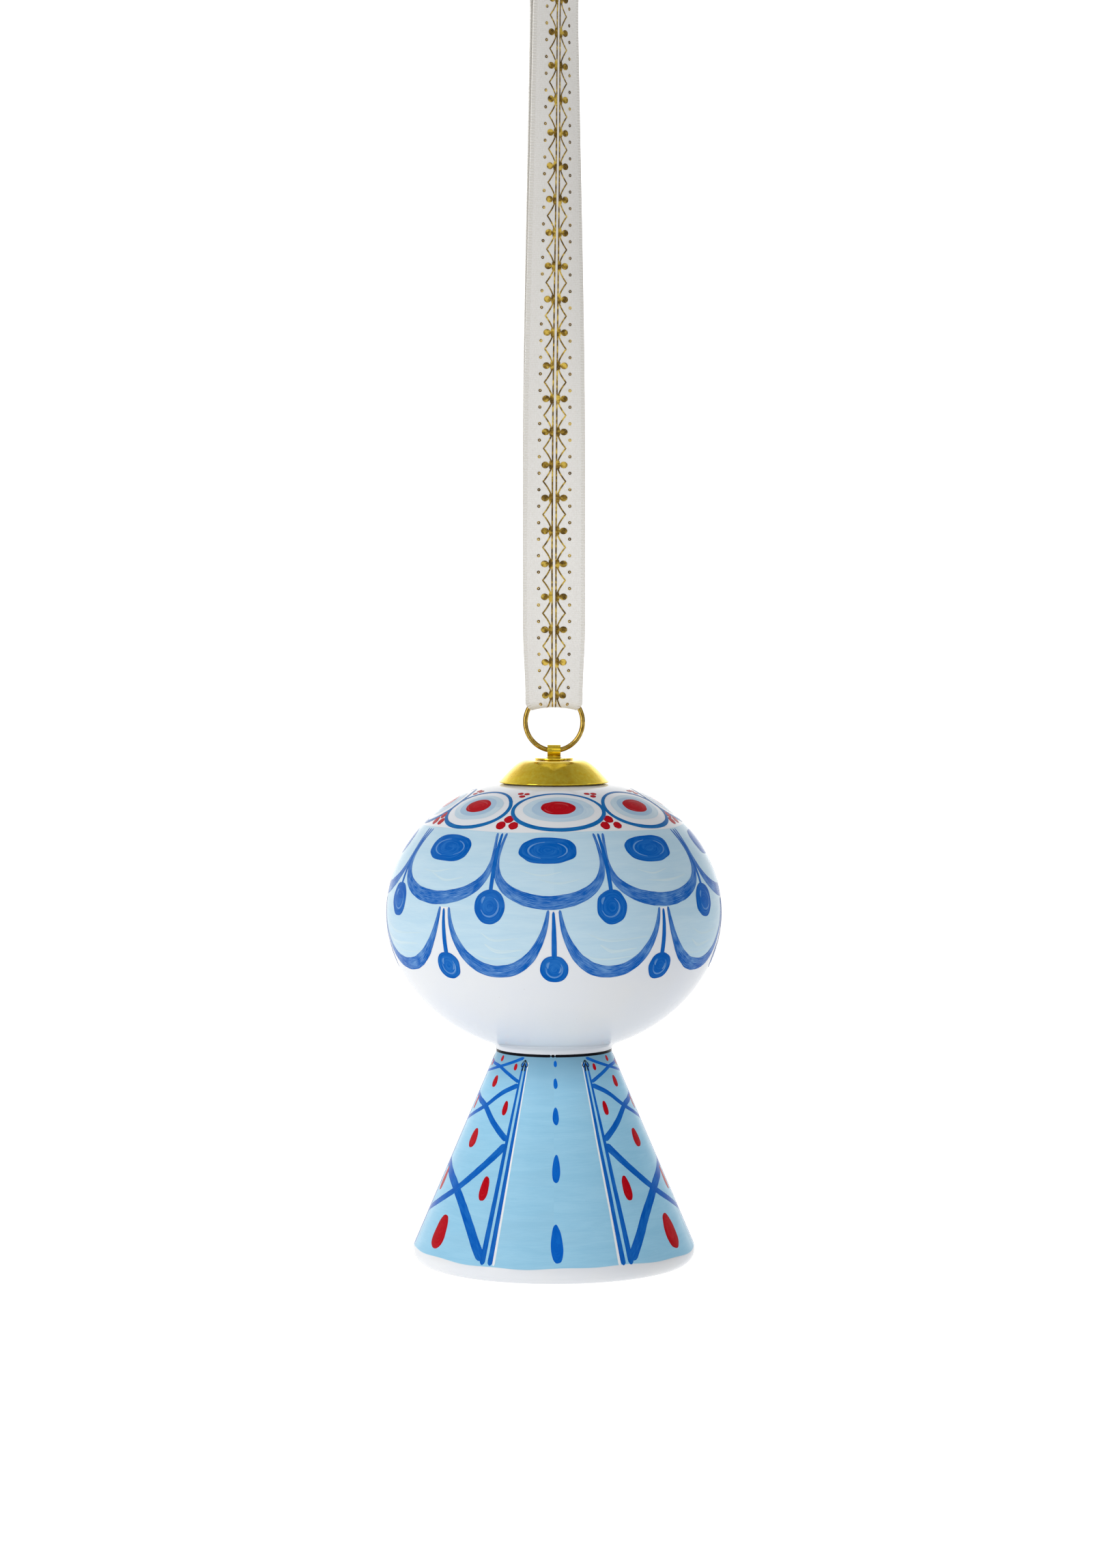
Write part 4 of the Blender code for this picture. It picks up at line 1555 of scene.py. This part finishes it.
# (name, place from the globe's centre, width and height, power)
LIGHTS = (
    ("left_box", (-0.42, -0.40, 0.08), (0.22, 0.60), 1.0),
    ("front_box", (0.10, -0.62, 0.30), (0.30, 0.30), 0.16),
    ("right_strip", (0.50, -0.10, 0.10), (0.06, 0.50), 0.10),
)
FLOOR_DROP = 0.12
FLOOR_GLOW_Y = (-0.38, 0.22)
FLOOR_GLOW = 0.62

# Greys of the room along each direction, from its negative end to its positive one
SIDES = (
    (0.0, 0.30),
    (0.05, 0.34),
    (0.10, 0.92),
    (0.35, 0.88),
    (0.62, 0.72),
    (0.9, 0.66),
    (0.94, 0.1),
)
TOPS = ((0.0, 1.0), (0.55, 1.0), (0.70, 0.82), (0.84, 0.46), (1.0, 0.26))
FRONTS = ((0.0, 0.30), (0.04, 0.32), (0.10, 1.0), (1.0, 1.0))
BACKDROP = ((0.0, 0.0), (0.86, 0.0), (0.96, 1.0), (1.0, 1.0))
ROOM_STRENGTH = 1.46
WHITE = (1.0, 1.0, 1.0)


def make_stage():
    scene = bpy.context.scene
    scene.view_settings.view_transform = "Standard"
    make_floor()
    make_world(scene)
    for lamp in LIGHTS:
        area_light(*lamp)
    add_camera(scene)


def make_floor():
    """A pale table that glows, more towards the back, so that behind the bell it runs on into the
    white; the glow is painted light, not a lamp.
    """
    bpy.ops.mesh.primitive_plane_add(size=12.0, location=(0.0, 0.0, CAD_BOX[0][2] - FLOOR_DROP))
    floor = bpy.context.object
    floor.name = "floor"
    m = Nodes("pale_floor")
    place = m.coordinates()
    m.colour(m.ramp(m.noise(place, 3.0), [(0.3, 0.86), (0.7, 0.90)]))
    glow = m.remap(m.split(place)["Y"], FLOOR_GLOW_Y, (0.0, FLOOR_GLOW))
    m.link(glow, m.shader.inputs["Emission Strength"])
    m.set(Roughness=0.9, Specular_IOR_Level=0.1, Emission_Color=(1, 1, 1, 1))
    floor.data.materials.append(m.material)


def make_world(scene):
    """A white room, a little brighter on the left and darker on the right and overhead."""
    world = bpy.data.worlds.new("studio")
    room = Tree(world, "Background")
    scene.world = world
    direction = room.split(room.add("ShaderNodeTexCoord").outputs["Generated"])
    sides, tops, fronts, backdrop = [
        room.ramp(room.remap(direction[axis], (-1.0, 1.0)), stops)
        for axis, stops in (("X", SIDES), ("Z", TOPS), ("Y", FRONTS), ("Y", BACKDROP))
    ]
    walls = room.mix(1.0, room.mix(1.0, sides, tops, "MULTIPLY"), fronts, "MULTIPLY")
    room.link(room.mix(backdrop, walls, WHITE), room.shader.inputs["Color"])
    room.set(Strength=ROOM_STRENGTH)


def area_light(name, place, size, power):
    """A rectangular soft light of (width, height) that looks at the globe."""
    lamp = bpy.data.lights.new(name, "AREA")
    lamp.shape = "RECTANGLE"
    lamp.size, lamp.size_y = size
    lamp.energy = power
    obj = bpy.data.objects.new(name, lamp)
    bpy.context.scene.collection.objects.link(obj)
    target = Vector((0.0, 0.0, CENTRE_Z))
    obj.location = target + Vector(place)
    obj.rotation_euler = (target - obj.location).to_track_quat("-Z", "Y").to_euler()


CAMERA_DISTANCE = 0.65
CAMERA_Z = 0.060
VIEW_MIDDLE_Z = 0.0214
VIEW_HEIGHT = 0.2618
SENSOR = 36.0


def add_camera(scene):
    camera = bpy.data.cameras.new("camera")
    obj = bpy.data.objects.new("camera", camera)
    scene.collection.objects.link(obj)
    obj.location = (0.0, -CAMERA_DISTANCE, CAMERA_Z + CENTRE_Z)
    target = Vector((0.0, 0.0, VIEW_MIDDLE_Z + CENTRE_Z))
    obj.rotation_euler = (target - obj.location).to_track_quat("-Z", "Y").to_euler()
    camera.sensor_width = SENSOR
    distance = (target - obj.location).length
    camera.lens = SENSOR * distance / VIEW_HEIGHT
    scene.camera = obj


def make_all():
    gold_wire = gold("gold_wire", 0.10, 700.0, 0.05)
    blue = paint("deep_blue", (0, 93, 185), (128, 176, 226), 0.63, rim=0.3)
    make_body()
    paint_light_zone()
    paint_pale_streaks()
    paint_swags(blue)
    paint_balls(paint("ball_blue", (0, 94, 186), (48, 122, 202), 0.63, rim=0.3))
    paint_ball_lights(paint("pale_blue_lights", (40, 112, 194), (124, 170, 222), 0.55))
    paint_medallions()
    paint_red_dots()
    paint_red_lights()
    paint_skirt_wash()
    paint_skirt()
    paint_black()
    make_cap()
    make_boss(gold_wire)
    # The ring's gold is painted darker, with a dark edge tint, for the dark reflections on the wire
    make_ring(gold("ring_gold", 0.10, 500.0, 0.10, WIRE_SHADED_TONES, WIRE_DARK_EDGE))
    make_strap(gold_wire)
    ribbon = make_ribbon()
    foil_print = make_print()
    make_ball(glaze_body())
    finish_hidden_nodes(steel())
    make_stage()


make_all()
